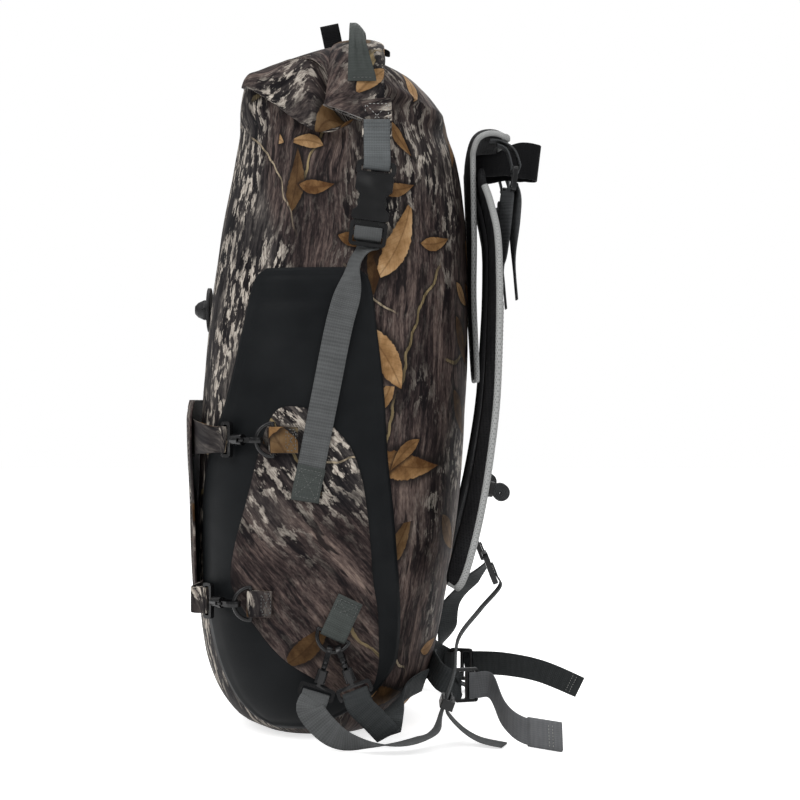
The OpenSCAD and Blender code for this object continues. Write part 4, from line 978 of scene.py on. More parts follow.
def make_tab_webbing():
    piece, sewn = Piece("buckle_loop_webbing"), Piece("buckle_loop_stitching")
    b = on_buckle(0, BAR_V + 1.9, 0)
    x = TAB_X + WEB_T + 0.3
    z = TAB_X - WEB_T - 0.3
    path = smooth([V(x, TAB_Y, EAR_Z - 2), V(x, TAB_Y, EAR_Z - 20), b + V(4.8, 0, 8)]
                  + eye_turn(b, -BUCKLE_DIR, AX, 4.8)
                  + [b + V(-4.8, 0, 9), V(z, TAB_Y, EAR_Z - 21), V(z, TAB_Y, EAR_Z - 10)], 4)
    mirrored(piece, path, V(0, 1, -0.12), NARROW_WEB)
    for side in (1, -1):
        for dz in (-4, -9.5):
            a, c = (flip(V(x + WEB_T / 2 + 0.15, TAB_Y + dy, EAR_Z + dz), side) for dy in (-10, 10))
            sewn.stitch_row([a, c], AX * side, 3.4)
    piece.done("closure", PALE_WEB, ["tab_webbing"], "grey_webbing")
    sewn.done("closure", DARK_THREAD, slot="grey_webbing")


def side_point(y, z, up):
    return V(side_x(y, z) + up, y, z)


def make_side_straps():
    piece, box, sewn = Piece("side_strap_pair"), Piece("side_strap_ends"), Piece("side_strap_stitching")
    up = PATCH_OFF + 0.5 + WEB_T / 2
    looped = [on_buckle(*at) for at in ((0, -6, 4.9), (0, -12, 4.9), (0, -15.4, 3.9), (0, -17.2, 0), (0, -19, -3.9),
                                        (-3, -26, -3.2), (-9, -40, 0.5))]

    def laid(*rows):
        return [side_point(TAB_Y - dy, hz(share), up + lift) for dy, share, lift in rows]

    path = smooth(looped + laid((25, 0.655, 1), (34.5, 0.6, 0), (47, 0.5, 0.5), (57, 0.42, 0), (63, 0.372, 0),
                                (65, 0.353, 0)), 7)
    last = len(path) - 1
    twist = [ease(0.33, 0.45, i / last) * (1 - ease(0.5, 0.62, i / last)) for i in range(last + 1)]
    mirrored(piece, path, [V(0.75 * k, 1, -0.13) for k in twist], WEB,
             scale=[1 - 0.42 * k for k in twist])
    end = smooth(laid((58.5, 0.402, 1.3), (63, 0.372, 1.5), (65, 0.353, 1.3)), 5)
    mirrored(box, end, V(0, 1, -0.13), strap_section(WEB_W + 0.6, WEB_T))
    mid = laid((61.9, 0.3775, 1.45 + WEB_T / 2))[0]
    for side in (1, -1):
        high = unit(flip(side_point(TAB_Y - 58.5, hz(0.402), 0) - side_point(TAB_Y - 65, hz(0.353), 0), side))
        wide = square_to(V(0, 1, -0.13), high)
        face = unit(wide.cross(high)) * side
        stitched_box(sewn, flip(mid, side), wide, high, face if face.x * side > 0 else -face, 20, 25, step=3.3)
    piece.done("bag", GREY_WEB, ["side_straps"], "grey_webbing")
    box.done("bag", GREEN_WEB, slot="grey_webbing")
    sewn.done("bag", DARK_THREAD, slot="grey_webbing")


HANDLE_HALF = 14


def make_handle():
    """The handle: flat at its sewn ends, pleated above them and curled at the grip."""
    piece, sewn = Piece("grab_handle_webbing"), Piece("grab_handle_stitching")
    x1 = EAR_X + ROLL_SIDE + 1.2
    foot = ROLL_Z - ROLL_BEND + 6
    grip = ROLL_Z + ROLL_T / 2 + 17
    half = [V(x1 + dx, ROLL_Y, z) for dx, z in ((0.2, foot + 1), (1, foot + 14), (-3, foot + 34), (-22, foot + 56),
                                                (-60, grip - 2), (-100, grip))]
    path = smooth(half + [flip(p, -1) for p in half[::-1]], 8)
    last = len(path) - 1
    base = [(k, 0.8) for k in range(-HANDLE_HALF, HANDLE_HALF + 1)]
    base += [(-a, -b) for a, b in base]
    m = len(base)

    def place(a, b):
        i = round(b * last)
        n = tangent(path, i).cross(AY)
        q = base[round(a * m) % m]
        f = abs(2 * i / last - 1)
        curl = 1 - ease(0.34, 0.66, f)
        taper = 1 - ease(0.5, 0.98, f)
        bend = q[0] / HANDLE_HALF
        wide = q[0] * (0.92 - 0.42 * taper) + 2.5 - 5 * taper
        pleat = taper * ease(0.5, 0.68, f) * (math.cos(8 * bend + 0.6) - 1)
        lift = q[1] + curl * (6 * max(0, bend + 0.3) ** 1.6 + 0.5) + 1.4 * pleat
        return path[i] + AY * wide + n * lift

    piece.grid(m, last, place, size=(60, lengths(path)[-1]), wrap=True, caps=True)
    for side in (1, -1):
        at = flip(V(x1 + 1.9, ROLL_Y + 2.4, foot + 4), side)
        sewn.stitch_row([at + V(0, k, 0) for k in (-9, 0, 9)], AX * side, 3.6)
    piece.done("handle", GREEN_WEB, ["grab_handle"], "grey_webbing")
    sewn.done("handle", DARK_THREAD, slot="grey_webbing")


PULL_T = 1.3


def make_pull_tabs():
    """An upright loop at the front of the roll and a flat fold at its back, on each side."""
    piece = Piece("pull_tab_loops")
    x = ROLL_FLAT * 0.62
    lean = math.radians(12)
    up = V(0, -math.sin(lean), math.cos(lean))
    wide = V(0, math.cos(lean), math.sin(lean))
    foot = V(x, ROLL_Y - ROLL_W / 2 * 0.86, ROLL_Z + (ROLL_T / 2 * 0.52 - 0.1))
    loop = smooth([foot + AX * a + up * b for a, b in (
        (0.95, 0), (1, 12), (1.7, 20), (1.2, 25), (0, 26.2), (-1.2, 25), (-1.7, 20), (-1, 12), (-0.95, 0))], 4)
    mirrored(piece, loop, wide, strap_section(18, PULL_T))
    lump = spiral(10.3 / 16)
    lean = math.radians(-21)
    along, out = V(0, math.cos(lean), math.sin(lean)), V(0, -math.sin(lean), math.cos(lean))
    seat = V(x - 6, ROLL_Y + lump[0], ROLL_Z + lump[1]) + out * 1.1
    fold = smooth([seat + along * a + out * b for a, b in (
        (-4.4, 0), (5, 0.1), (7.4, 1.2), (5, 2.4), (-2, 2.7), (-4.4, 2.4))], 5)
    mirrored(piece, fold, AX, strap_section(16, PULL_T))
    piece.done("closure", BLACK_AND_SHADE_WEB, ["pull_tabs"], "black_webbing")


# Front panel, its tabs, rings and hooks

EYE_L, SHANK_L, BOW_IN, PLAY = 14, 26, 7.5 - 3.3, 0.6
HOOK_L = EYE_L + SHANK_L + BOW_IN - WIRE_D / 2 - PLAY
RING_LIFT = PATCH_OFF + SHEET_T + WEB_T + 0.35 + WIRE_D / 2 + PLAY
UPPER_Z, LOWER_Z = hz(0.44), hz(0.206)


# Panel rings by height: place as a share of the depth, lift, way to the hook's eye and length of the ring tab
RINGS = {UPPER_Z: (0.19, 1, V(-0.64, -0.77, 0), 23), LOWER_Z: (0.27, 1.5, V(-0.72, -0.69, 0), 20)}


def panel_bar(z):
    y = -BAG_D * RINGS[z][0]
    return V(side_x(y, z) + RING_LIFT, y, z)


def panel_wire(z):
    return panel_bar(z) + V(RINGS[z][1], -RING_R, 0)


def panel_eye(z):
    return panel_wire(z) + unit(RINGS[z][2]) * HOOK_L


PANEL_TOP, PANEL_FOOT = hz(0.497), hz(0.194)
PANEL_HALF = BAG_W * 0.31
PANEL_Y = BAG_D / 2 * -straight(FRONTS, hz(0.341)) - 5.5
PANEL_SHAPE = [(0, 0.9), (0.07, 0.95), (0.2, 0.97), (0.45, 0.95), (0.62, 0.99), (0.78, 1.03), (0.9, 1),
               (0.96, 0.86), (1, 0.62)]
PANEL_T, PANEL_HEM = 1.8, 0.05


def bowed(x):
    """How far the panel curves back at a share of its half width."""
    return 9 * x ** 4


def panel_lean(v):
    """How far the panel has drawn in towards the bag, from its top down."""
    return 6 * (1 - v) ** 1.4


def make_front_panel():
    piece, sewn = Piece("front_panel_sheet"), Piece("front_panel_stitching")
    tall = PANEL_TOP - PANEL_FOOT

    def spot(u, v):
        x = 2 * u - 1
        edge = PANEL_HALF * rounded(PANEL_SHAPE, v)
        sag = 1.4 * noise.noise(V(x * 2.2, v * 3.1, 4.4)) * (1 - x * x) + 1.2 * math.sin(math.pi * v) * (1 - x * x)
        hem = 0.5 * math.exp(-((min(1 - abs(x), v, 1 - v) - PANEL_HEM) / 0.012) ** 2)
        return V(x * edge, PANEL_Y - 2.6 + panel_lean(v) + bowed(x) + max(0, sag) + hem, PANEL_FOOT + tall * v)

    piece.grid(64, 60, spot, size=(2 * PANEL_HALF, tall))
    shares = [PANEL_HEM + (1 - 2 * PANEL_HEM) * k / 40 for k in range(41)]
    rows = [[(k, v) for k in shares] for v in (1 - PANEL_HEM, PANEL_HEM)]
    rows += [[(u, k) for k in shares] for u in (PANEL_HEM, 1 - PANEL_HEM)]
    for row in rows:
        sewn.stitch_row([spot(u, v) - AY * 0.3 for u, v in row], -AY, 4.6)
    obj = piece.done("bag", [BARK_PANEL, BLACK], ["front_panel"], "camo_fabric", thick=PANEL_T)
    obj.modifiers["wall"].material_offset = 1
    sewn.done("bag", DARK_THREAD, slot="camo_fabric")
    area = 2 * PANEL_HALF * tall * sum(rounded(PANEL_SHAPE, (k + 0.5) / 50) for k in range(50)) / 50 * 1e-6
    tall * MM


def make_panel_tabs():
    piece = Piece("front_panel_tabs")
    for z in (UPPER_Z, LOWER_Z):
        e = panel_eye(z)
        h = unit(panel_wire(z) - e)
        n = unit(h.cross(AZ))
        v = (max(z, PANEL_FOOT + 4) - PANEL_FOOT) / (PANEL_TOP - PANEL_FOOT)
        x = PANEL_HALF * straight(PANEL_SHAPE, v)
        low = z == LOWER_Z
        y = PANEL_Y + panel_lean(v) + 3 * low
        path = smooth([V(x * 0.84, y + bowed(0.9) + 0.9 + WEB_T / 2, z + 1 + 3 * low),
                       V(x * 1.05, y + bowed(1.08) + 2 - 5 * low, z + 1 + 1.5 * low),
                       e - h * 15 + n * 5] + eye_turn(e, h, n)
                      + [e - h * 7 - n * 2, e - h * 13 + n], 5)
        scale = [1 if low else 1.45 - 0.036 * min(i, 12.5) for i in range(len(path))]
        mirrored(piece, path, AZ, NARROW_WEB, scale=scale, mat=int(low))
    piece.done("bag", [BARK_TAN, BARK_TABS], ["panel_tabs"], "camo_fabric")


def ring_tab(piece, b, d, w, long, lift, mat=0):
    """Webbing folded round the bar of a ring and sewn down on the side."""
    n = AX
    r = WIRE_D / 2 + 0.35 + WEB_T / 2

    def floor_x(q):
        return side_x(q.y, q.z) + lift + WEB_T / 2 + 0.4

    def over(q, k):
        return V(floor_x(q) + k, q.y, q.z)

    far, m1, m2 = (b - d * (long * k) for k in (1, 0.62, 0.3))
    up = WEB_T + 0.4
    path = smooth([over(far, up), over(m1, up), V(max(floor_x(m2) + up, b.x + r * 0.8), m2.y, m2.z), b + n * r,
                   b + d * r * 0.75 + n * r * 0.66, b + d * r, b + d * r * 0.75 - n * r * 0.66, b - n * r,
                   over(m2, 0.1), over(m1, 0), over(b - d * (long * 0.86), 0)], 5)
    mirrored(piece, path, w, NARROW_WEB, mat=mat)
    return over(far.lerp(m1, 0.75), up + WEB_T / 2 + 0.2), over(far, up), over(m1, up)


def make_ring_tabs():
    piece, sewn = Piece("panel_ring_webbing"), Piece("panel_ring_stitching")
    for z in (UPPER_Z, LOWER_Z):
        mid, a, b = ring_tab(piece, panel_bar(z), -AY, AZ, RINGS[z][3], PATCH_OFF + 0.6, int(z == LOWER_Z))
        for side in (1, -1):
            y = unit(flip(b - a, side))
            stitched_box(sewn, flip(mid, side), square_to(AZ, y), y, AX * side, 19, 9, 3.2)
    piece.done("bag", [BARK_TAN, BARK_TABS], ["panel_ring_tabs"], "camo_fabric")
    sewn.done("bag", DARK_THREAD, slot="camo_fabric")


HAR_DIR = unit(V(0, -0.42, -0.9))
HAR_Y, HAR_Z = BAG_D * 0.02, hz(0.163)
HAR_BAR = V(side_x(HAR_Y, HAR_Z) + RING_LIFT + 1.5, HAR_Y, HAR_Z)
HAR_OUT = unit(HAR_DIR + V(0.16, 0, 0))
HAR_SIDE = unit(AX.cross(HAR_DIR))
HAR_REAR, HAR_FRONT = math.radians(46), math.radians(8)


def har_ray(t):
    """Way from the harness ring to a hook turned by t."""
    return HAR_OUT * math.cos(t) + HAR_SIDE * math.sin(t)


def har_eye(t):
    return HAR_BAR + har_ray(t) * (RING_R + HOOK_L)


def make_harness_ring_tabs():
    piece, sewn = Piece("harness_ring_webbing"), Piece("harness_ring_stitching")
    mid, a, b = ring_tab(piece, HAR_BAR, HAR_DIR, HAR_SIDE, 36, PATCH_OFF + 1.5)
    for side in (1, -1):
        y = unit(flip(b - a, side))
        at = flip(mid + (b - a) * 0.1, side)
        stitched_box(sewn, at, square_to(flip(HAR_SIDE, side), y), y, AX * side, 19, 16)
    piece.done("bag", GREEN_WEB, ["harness_ring_tabs"], "grey_webbing")
    sewn.done("bag", DARK_THREAD, slot="grey_webbing")


# Harness

BACK_MAX = BAG_D / 2 * straight(BACKS, hz(0.653))
YOKE_Y = BACK_MAX + 0.4 + YOKE_T / 2
YOKE_HALF = BAG_W * 0.285
YOKE_STEPS, STRAP_STEPS = 5, 6
YOKE_PATH = smooth([(0, YOKE_Y + dy, hz(s)) for dy, s in (
    (4, 0.527), (2.5, 0.575), (0, 0.653), (0, 0.73), (-1, 0.8), (-2, 0.855), (-1.5, 0.87), (3, 0.886), (12, 0.893),
    (22, 0.892), (31, 0.886))], YOKE_STEPS)
YOKE_SHAPE = [(0, 0.3), (0.04, 0.42), (0.12, 0.52), (0.3, 0.7), (0.5, 0.88), (0.7, 0.98), (0.9, 1), (0.96, 0.97),
              (1, 0.88)]
YOKE_SCALE = [rounded(YOKE_SHAPE, i / (len(YOKE_PATH) - 1)) for i in range(len(YOKE_PATH))]
FLAP_TIP = YOKE_PATH[-1]


def pad_section(half, t, n=13):
    """A pad, full in its middle and thin at its edges."""
    low = [(half * (2 * i / n - 1), -t / 2 * (0.52 + 0.48 * (1 - abs(2 * i / n - 1) ** 4))) for i in range(n + 1)]
    return low + [(half + 0.35 * t * 0.5, 0)] + [(-a, -b) for a, b in low] + [(-half - 0.35 * t * 0.5, 0)]


PUFF_CAP, PUFF_FORCE, PUFF_FRAMES = 3, 4, 20


def even_out(obj):
    soft = obj.modifiers.new("even", "SMOOTH")
    soft.factor, soft.iterations = 0.5, 4
    fine = obj.modifiers.new("fine", "SUBSURF")
    fine.levels = fine.render_levels = 1


def puff(obj, voxel, edge):
    """Fills a pad with a short cloth run; no point moves more than the cap, and none near the edge."""
    mesh = obj.data
    grid = obj.modifiers.new("voxels", "REMESH")
    grid.mode, grid.voxel_size = "VOXEL", voxel * MM
    graph = bpy.context.evaluated_depsgraph_get()
    fine = bpy.data.meshes.new_from_object(obj.evaluated_get(graph))
    obj.modifiers.clear()
    fine.materials.clear()
    for m in mesh.materials:
        fine.materials.append(m)
    obj.data = fine
    fine.name = obj.name
    start = [v.co.copy() for v in fine.vertices]
    held = [v.index for v in fine.vertices if edge(v.co / MM)]
    group = obj.vertex_groups.new(name="seam")
    group.add(held, 1.0, "REPLACE")
    cloth = obj.modifiers.new("fill", "CLOTH")
    cloth.settings.use_pressure = True
    cloth.settings.uniform_pressure_force = PUFF_FORCE
    cloth.settings.effector_weights.gravity = 0
    cloth.settings.vertex_group_mass = "seam"
    cloth.settings.quality = 4
    cloth.point_cache.frame_start, cloth.point_cache.frame_end = 1, PUFF_FRAMES
    for f in range(1, PUFF_FRAMES + 1):
        scene.frame_set(f)
    graph = bpy.context.evaluated_depsgraph_get()
    done = obj.evaluated_get(graph).to_mesh()
    ends = [v.co.copy() for v in done.vertices]
    obj.evaluated_get(graph).to_mesh_clear()
    obj.modifiers.clear()
    obj.vertex_groups.clear()
    scene.frame_set(1)
    for v, a, b in zip(fine.vertices, start, ends):
        step = b - a
        if step.length > PUFF_CAP * MM:
            step *= PUFF_CAP * MM / step.length
        v.co = a + step
    for p in fine.polygons:
        p.use_smooth = True
    even_out(obj)


def make_yoke():
    piece = Piece("yoke_pad_fabric")
    piece.band(YOKE_PATH, AX, pad_section(YOKE_HALF, YOKE_T * 0.9, 29), scale=YOKE_SCALE)
    for v in piece.bm.verts:
        at = v.co / MM
        middle = max(0, 1 - (at.x / YOKE_HALF) ** 2)
        v.co += V(0, -1.0, 12) * (MM * middle * ease(hz(0.845), hz(0.885), at.z))
    obj = piece.done("bag", MESH, ["yoke_pad"], "black_fabric")

    def edge(p):
        i = min(range(len(YOKE_PATH)), key=lambda k: (YOKE_PATH[k] - V(0, p.y, p.z)).length)
        return abs(p.x) > YOKE_HALF * YOKE_SCALE[i] - 5

    puff(obj, 3.5, edge)
    tape, sewn = Piece("yoke_edge_tape"), Piece("yoke_stitching")
    for s in (1, -1):
        rim, seam = ([p + AX * (s * (YOKE_HALF * k + out)) for p, k in zip(YOKE_PATH, YOKE_SCALE)]
                     for out in (BIND_W / 2 - 0.6, -2.6))
        tape.band(rim, AX, oval_section(BIND_W + 1.4, 5.4))
        face = [p + tangent(YOKE_PATH, i).cross(AX) * -(YOKE_T / 2 * 0.8) for i, p in enumerate(seam)]
        sewn.stitch_row(face, AY, 4.4)
    across = [V(YOKE_HALF * 0.9 * k / 20, FLAP_TIP.y, FLAP_TIP.z + 11 * (1 - (0.9 * k / 20) ** 2))
              for k in range(-20, 21)]
    tape.band(across, V(0, -0.35, 1), oval_section(6.4, BIND_W + 1.0))
    tape.done("bag", TAPE, ["yoke_binding"], "binding")
    sewn.done("bag", DARK_THREAD, slot="binding")


def make_haul_loop():
    piece = Piece("haul_loop_webbing")
    y0 = YOKE_Y + YOKE_T / 2
    z0 = FLAP_TIP.z - YOKE_T / 2 - HAUL_W / 2 - 4
    half = [V(x, y0 + dy, z0 + dz) for x, dy, dz in (
        (30.5, -0.4, 7), (30.5, 9, 7.5), (27, 20, 8.5), (20, 34, 13), (13, 50, 15), (9.5, 59, 14), (5, 63, 13.5))]
    path = smooth(half + [flip(p, -1) for p in half[::-1]], 7)
    scale = [0.6 + 0.4 * ease(y0 + 18, y0 + 48, p.y) for p in path]
    piece.band(path, V(0, 0.12, 1), strap_section(HAUL_W, 2.4), scale=scale)
    piece.done("bag", BLACK_AND_SHADE_WEB, ["haul_loop"], "black_webbing")


# Shoulder strap: share of the half width, distance from the bag and share of the height
STRAP_POINTS = [(0.385, 18, 0.842), (0.4, 21, 0.82), (0.435, 27, 0.786), (0.485, 32, 0.739), (0.53, 34, 0.676),
                (0.575, 36, 0.6), (0.63, 38, 0.497), (0.675, 38, 0.406), (0.71, 36, 0.333), (0.73, 33, 0.267),
                (0.735, 30, 0.225)]
STRAP_TAPER = [(0, 0.6), (0.06, 0.85), (0.12, 1), (0.86, 1), (0.93, 0.9), (0.97, 0.72), (1, 0.42)]


def strap_route(steps):
    """Path, tilt and width of a shoulder strap."""
    points = []
    for xs, off, zs in STRAP_POINTS:
        x, z = xs * BAG_W / 2, hz(zs)
        rest = YOKE_Y + YOKE_T / 2 + PAD_T / 2 + straight([(0.78, 1), (0.842, -1.4)], zs) if zs > 0.5 else 0
        points.append((x, max(rear_y(x, z) + off, rest), z))
    path = smooth(points, steps)
    last = len(path) - 1
    tilt = [V(1, 0.02 + 0.24 * (i / last) ** 1.5, 0) for i in range(last + 1)]
    return path, tilt, [straight(STRAP_TAPER, i / last) for i in range(last + 1)]


COARSE, COARSE_TILT, _ = strap_route(2)
STRAP, STRAP_TILT, STRAP_SCALE = strap_route(STRAP_STEPS)
WEB_UP = PAD_T / 2 + 0.4 + WEB_T / 2


def off_strap(path, tilt, i, up, out=0.0):
    """A place up from a shoulder strap and out to its side, at the i-th point of its path."""
    t = tangent(path, i)
    u = square_to(tilt[i], t)
    return path[i] + u.cross(t) * up + u * out


def strap_at(i, up):
    return off_strap(COARSE, COARSE_TILT, i, up)


def make_shoulder_straps():
    def edge(p):
        i = min(range(len(STRAP)), key=lambda k: (STRAP[k] - p).length)
        u = square_to(STRAP_TILT[i], tangent(STRAP, i))
        return abs((p - STRAP[i]).dot(u)) > PAD_HALF * STRAP_SCALE[i] - 4.5

    piece = Piece("shoulder_pad_right_fabric")
    piece.band(STRAP, STRAP_TILT, pad_section(PAD_HALF, PAD_T * 0.9), scale=STRAP_SCALE)
    right = piece.done("bag", MESH, ["shoulder_pad_right"], "black_fabric")
    puff(right, 3.0, edge)
    mesh = right.data.copy()
    mesh.name = "shoulder_pad_left_fabric"
    mesh.transform(Matrix.Scale(-1, 4, AX))
    mesh.flip_normals()
    left = bpy.data.objects.new("shoulder_pad_left_fabric", mesh)
    scene.collection.objects.link(left)
    even_out(left)
    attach(left, "bag")
    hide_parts("shoulder_pad_left")
    tape, sewn, web = Piece("shoulder_edge_tape"), Piece("shoulder_stitching"), Piece("shoulder_strap_webbing")
    # The inner edges take black webbing in place of the pale binding: painted shade.
    inner = Piece("shoulder_inner_binding_shade")
    bound = PAD_T * 0.74
    for s in (1, -1):
        kept = [i for i, p in enumerate(STRAP) if s < 0 or p.z < hz(0.806)]
        path = [off_strap(STRAP, STRAP_TILT, i, 0, s * (PAD_HALF * STRAP_SCALE[i] + BIND_W / 2 - 1.2)) for i in kept]
        mirrored(tape if s > 0 else inner, path, [STRAP_TILT[i] for i in kept], oval_section(BIND_W + 2.6, bound))
    tip = [off_strap(STRAP, STRAP_TILT, len(STRAP) - 1, 0, PAD_HALF * STRAP_SCALE[-1] * k / 6) for k in range(-6, 7)]
    mirrored(tape, tip, AZ, oval_section(4.6, bound))
    tape.done("bag", TAPE, ["shoulder_bindings"], "binding")
    inner.done("bag", BLACK_AND_SHADE_WEB, slot="binding")
    first, last = 9 * STRAP_STEPS // 2, (len(COARSE) - 4) * STRAP_STEPS // 2
    keep = range(first, last + 1)
    mirrored(web, [off_strap(STRAP, STRAP_TILT, i, WEB_UP) for i in keep], [STRAP_TILT[i] for i in keep],
             WEB)
    for out in (-WEB_W / 2 + 2, WEB_W / 2 - 2):
        row = [off_strap(STRAP, STRAP_TILT, i, WEB_UP + WEB_T / 2 + 0.15, out) for i in keep]
        for side in (1, -1):
            sewn.stitch_row([flip(p, side) for p in row], AY, 4.2)
    web.done("bag", DARK_WEB, ["shoulder_webbing"], "dark_webbing")
    sewn.done("bag", DARK_THREAD, slot="dark_webbing")


LIFT_X, LOCK_L = YOKE_HALF * 0.9, 24.0
LIFT_C = V(LIFT_X, FLAP_TIP.y + 6, FLAP_TIP.z - 38)
LIFT_DIR = unit(V(0, 0.12, 1))


def make_lifters():
    """Load lifters: a tab from the flap, a run down to the shoulder strap and a hanging tail."""
    piece, sewn = Piece("lifter_strap_webbing"), Piece("lifter_stitching")
    b, c = LIFT_C + LIFT_DIR * LOCK_L * 0.43, LIFT_C - LIFT_DIR * LOCK_L * 0.43
    s = strap_at(8, WEB_UP)

    def by(at, *steps):
        return [V(LIFT_X, at.y + dy, at.z + dz) for dy, dz in steps]

    flap = V(LIFT_X, FLAP_TIP.y, FLAP_TIP.z - YOKE_T / 2 - 0.5 - WEB_T / 2)
    tab = smooth(by(flap, (-17, 3.2), (-6, 2), (6, -6))
                 + by(b, (4.2, 4), (3.8, 0), (2.5, -3), (-0.5, -3.7), (-3.6, -1), (-3.5, 3))
                 + by(flap, (-1, -6), (-10, -1)), 5)
    run = smooth(by(c, (-3.9, 8), (-4.2, 1), (-5.5, -8)) + by(s, (1, 26))
                 + [V(LIFT_X, strap_at(7, WEB_UP).y + 0.6, s.z + 10)] + by(s, (0.8, -6)), 6)
    tail = smooth(by(c, (3.9, 6), (4.2, -2), (2, -30), (1, -64), (4, -104)), 7)
    mirrored(piece, tab, AX, LIFT_WEB)
    for path, most in ((run, 0.75), (tail, 0.5)):
        last = len(path) - 1
        lean = [V(1, most * ease(0.12, 0.4, i / last) * (1 - ease(0.45, 0.85, i / last)), 0) for i in range(last + 1)]
        mirrored(piece, path, lean, LIFT_WEB)
    for side in (1, -1):
        for dz in (4, -3):
            at = flip(V(LIFT_X, s.y + 0.9 + WEB_T, s.z + dz), side)
            sewn.stitch_row([at - AX * 8, at + AX * 8], AY, 3.2)
    piece.done("bag", MID_WEB, ["lifter_webbing"], "dark_webbing")
    sewn.done("bag", THREAD, slot="dark_webbing")


LOW_C = strap_at(len(COARSE) - 3, WEB_UP) + V(0, 20, -8)
LOW_DIR = unit(V(0.02, -0.35, 0.94))
KEEPER_LEAN = math.radians(20)


def low_point(x, y, z):
    return V(BAG_W * x, BAG_D * y, z)


KEEPER_C = low_point(0.452, 0.412, 40)


def make_lower_webbing():
    """Straps from the lower locks by way of the keepers to the front harness hooks, with their tails; the far strap
    takes darker slate webbing as painted shade.
    """
    piece, far = Piece("lower_strap_webbing"), Piece("lower_strap_far_shaded_webbing")
    e = har_eye(HAR_FRONT)
    h = -har_ray(HAR_FRONT)
    side = -unit(AX.cross(h))
    t = LOW_C - LOW_DIR * 14
    n = V(0, 0.94, 0.35)
    down = V(0, -math.sin(KEEPER_LEAN), -math.cos(KEEPER_LEAN))
    off = V(0, math.cos(KEEPER_LEAN), -math.sin(KEEPER_LEAN)) * 1.8
    run = smooth([LOW_C + n * 3.7 + LOW_DIR * 2, t + n * 3.7 + LOW_DIR * 4, t + n * 2.8 - LOW_DIR * 6,
                  t + V(3, -14, -26), low_point(0.405, 0.455, 96), low_point(0.435, 0.44, 68),
                  KEEPER_C - down * 8 - off, KEEPER_C - off, KEEPER_C + down * 8 - off + AX,
                  low_point(0.49, 0.37, 19), low_point(0.535, 0.33, 13), low_point(0.575, 0.24, 9),
                  low_point(0.58, 0.12, 10), low_point(0.565, 0.02, 17), e - h * 12 + AX * 5]
                 + eye_turn(e, h, AX) + [e - h * 9 - AX * 3], 7)
    last = len(run) - 1
    flat = [ease(0.47, 0.65, i / last) for i in range(last + 1)]
    edgewise = [side if k > 0.99 else -unit(AX.cross(tangent(run, i))) for i, k in enumerate(flat)]
    turn = [AX.lerp(w, k) for w, k in zip(edgewise, flat)]
    twist = [straight([(0.07, 0), (0.13, 1), (0.22, 1), (0.28, 0)], i / last) for i in range(last + 1)]
    other = [AX.lerp(V(0.35, 0.8, 0.3), j).lerp(w, k) for j, w, k in zip(twist, edgewise, flat)]
    tail = smooth([KEEPER_C - down * 8 + off, KEEPER_C + off, KEEPER_C + down * 8 + off * 1.4]
                  + [KEEPER_C + V(*d) for d in ((-1, 13, -24), (2, 30, -34), (8, 52, -38))], 7)
    for to, across, s in ((piece, turn, 1), (far, other, -1)):
        to.band(run, across, WEB, side=s)
        to.band(tail, AX, WEB, side=s)
    piece.done("bag", GREY_WEB, ["lower_webbing"], "dark_webbing")
    # The far strap is the same webbing as the near one; its darker slate colour is painted shade.
    far.done("bag", SLATE_AND_SHADE_WEB, slot="dark_webbing")


def make_stabilisers():
    """Short straps, folded over once, from the rear harness hooks to the back of the bag."""
    piece = Piece("stabiliser_strap_pair")
    e = har_eye(HAR_REAR)
    h = -har_ray(HAR_REAR)
    x = BAG_W / 2 * straight(WIDTHS, hz(0.07)) * 0.72
    side = -unit(AX.cross(h))
    looped = [e - h * 10 - AX * 3] + eye_turn(e, h, AX)[::-1] + [e - h * 10 + AX * 3]
    folded = [(V(e.x + dx, e.y + dy, z), V(0, wy, wz)) for dx, dy, z, wy, wz in (
        (2, 16, 29, 0.82, 0.58), (0, 26, 18, 0.87, 0.49), (-3.2, 29, 14, 0.9, 0.43), (-6.5, 28.5, 18.5, 0.93, 0.36),
        (-13, 31, 31, 0.97, 0.22))]
    folded += [(V(x + dx, rear_y(x + dx, at) + off, z), V(0, wy, wz)) for dx, at, off, z, wy, wz in (
        (22, 44, 12, 36, 0.75, 0.65), (0, 46, 6, 46, 0.42, 1), (-30, 48, 6, 48, 0.42, 1))]
    path = smooth(looped + [p for p, _ in folded], 9)
    turn = smooth([side] * len(looped) + [w for _, w in folded], 9)
    mirrored(piece, path, turn, NARROW_WEB)
    piece.done("bag", SLATE_AND_SHADE_WEB, ["stabiliser_straps"], "black_webbing")


def make_chest_webbing():
    piece = Piece("chest_strap_roll")
    c = strap_at(len(COARSE) - 6, WEB_UP + WEB_T / 2 + 15)
    path = []
    for i in range(231):
        t, r = math.radians(200 - 7.5 * i), 8.4 - 0.0325 * i
        path.append(c + V(0, r * math.cos(t), r * math.sin(t)))
    mirrored(piece, path, AX, LIFT_WEB)
    piece.done("bag", MID_WEB, ["chest_webbing"], "dark_webbing")


BELT_C = low_point(0.2, 0.49, 42)


def leaning(path, most):
    """Upright at the path's start, leaning out more and more towards its end."""
    last = len(path) - 1
    return [V(most * i / last, 0, 1) for i in range(last + 1)]


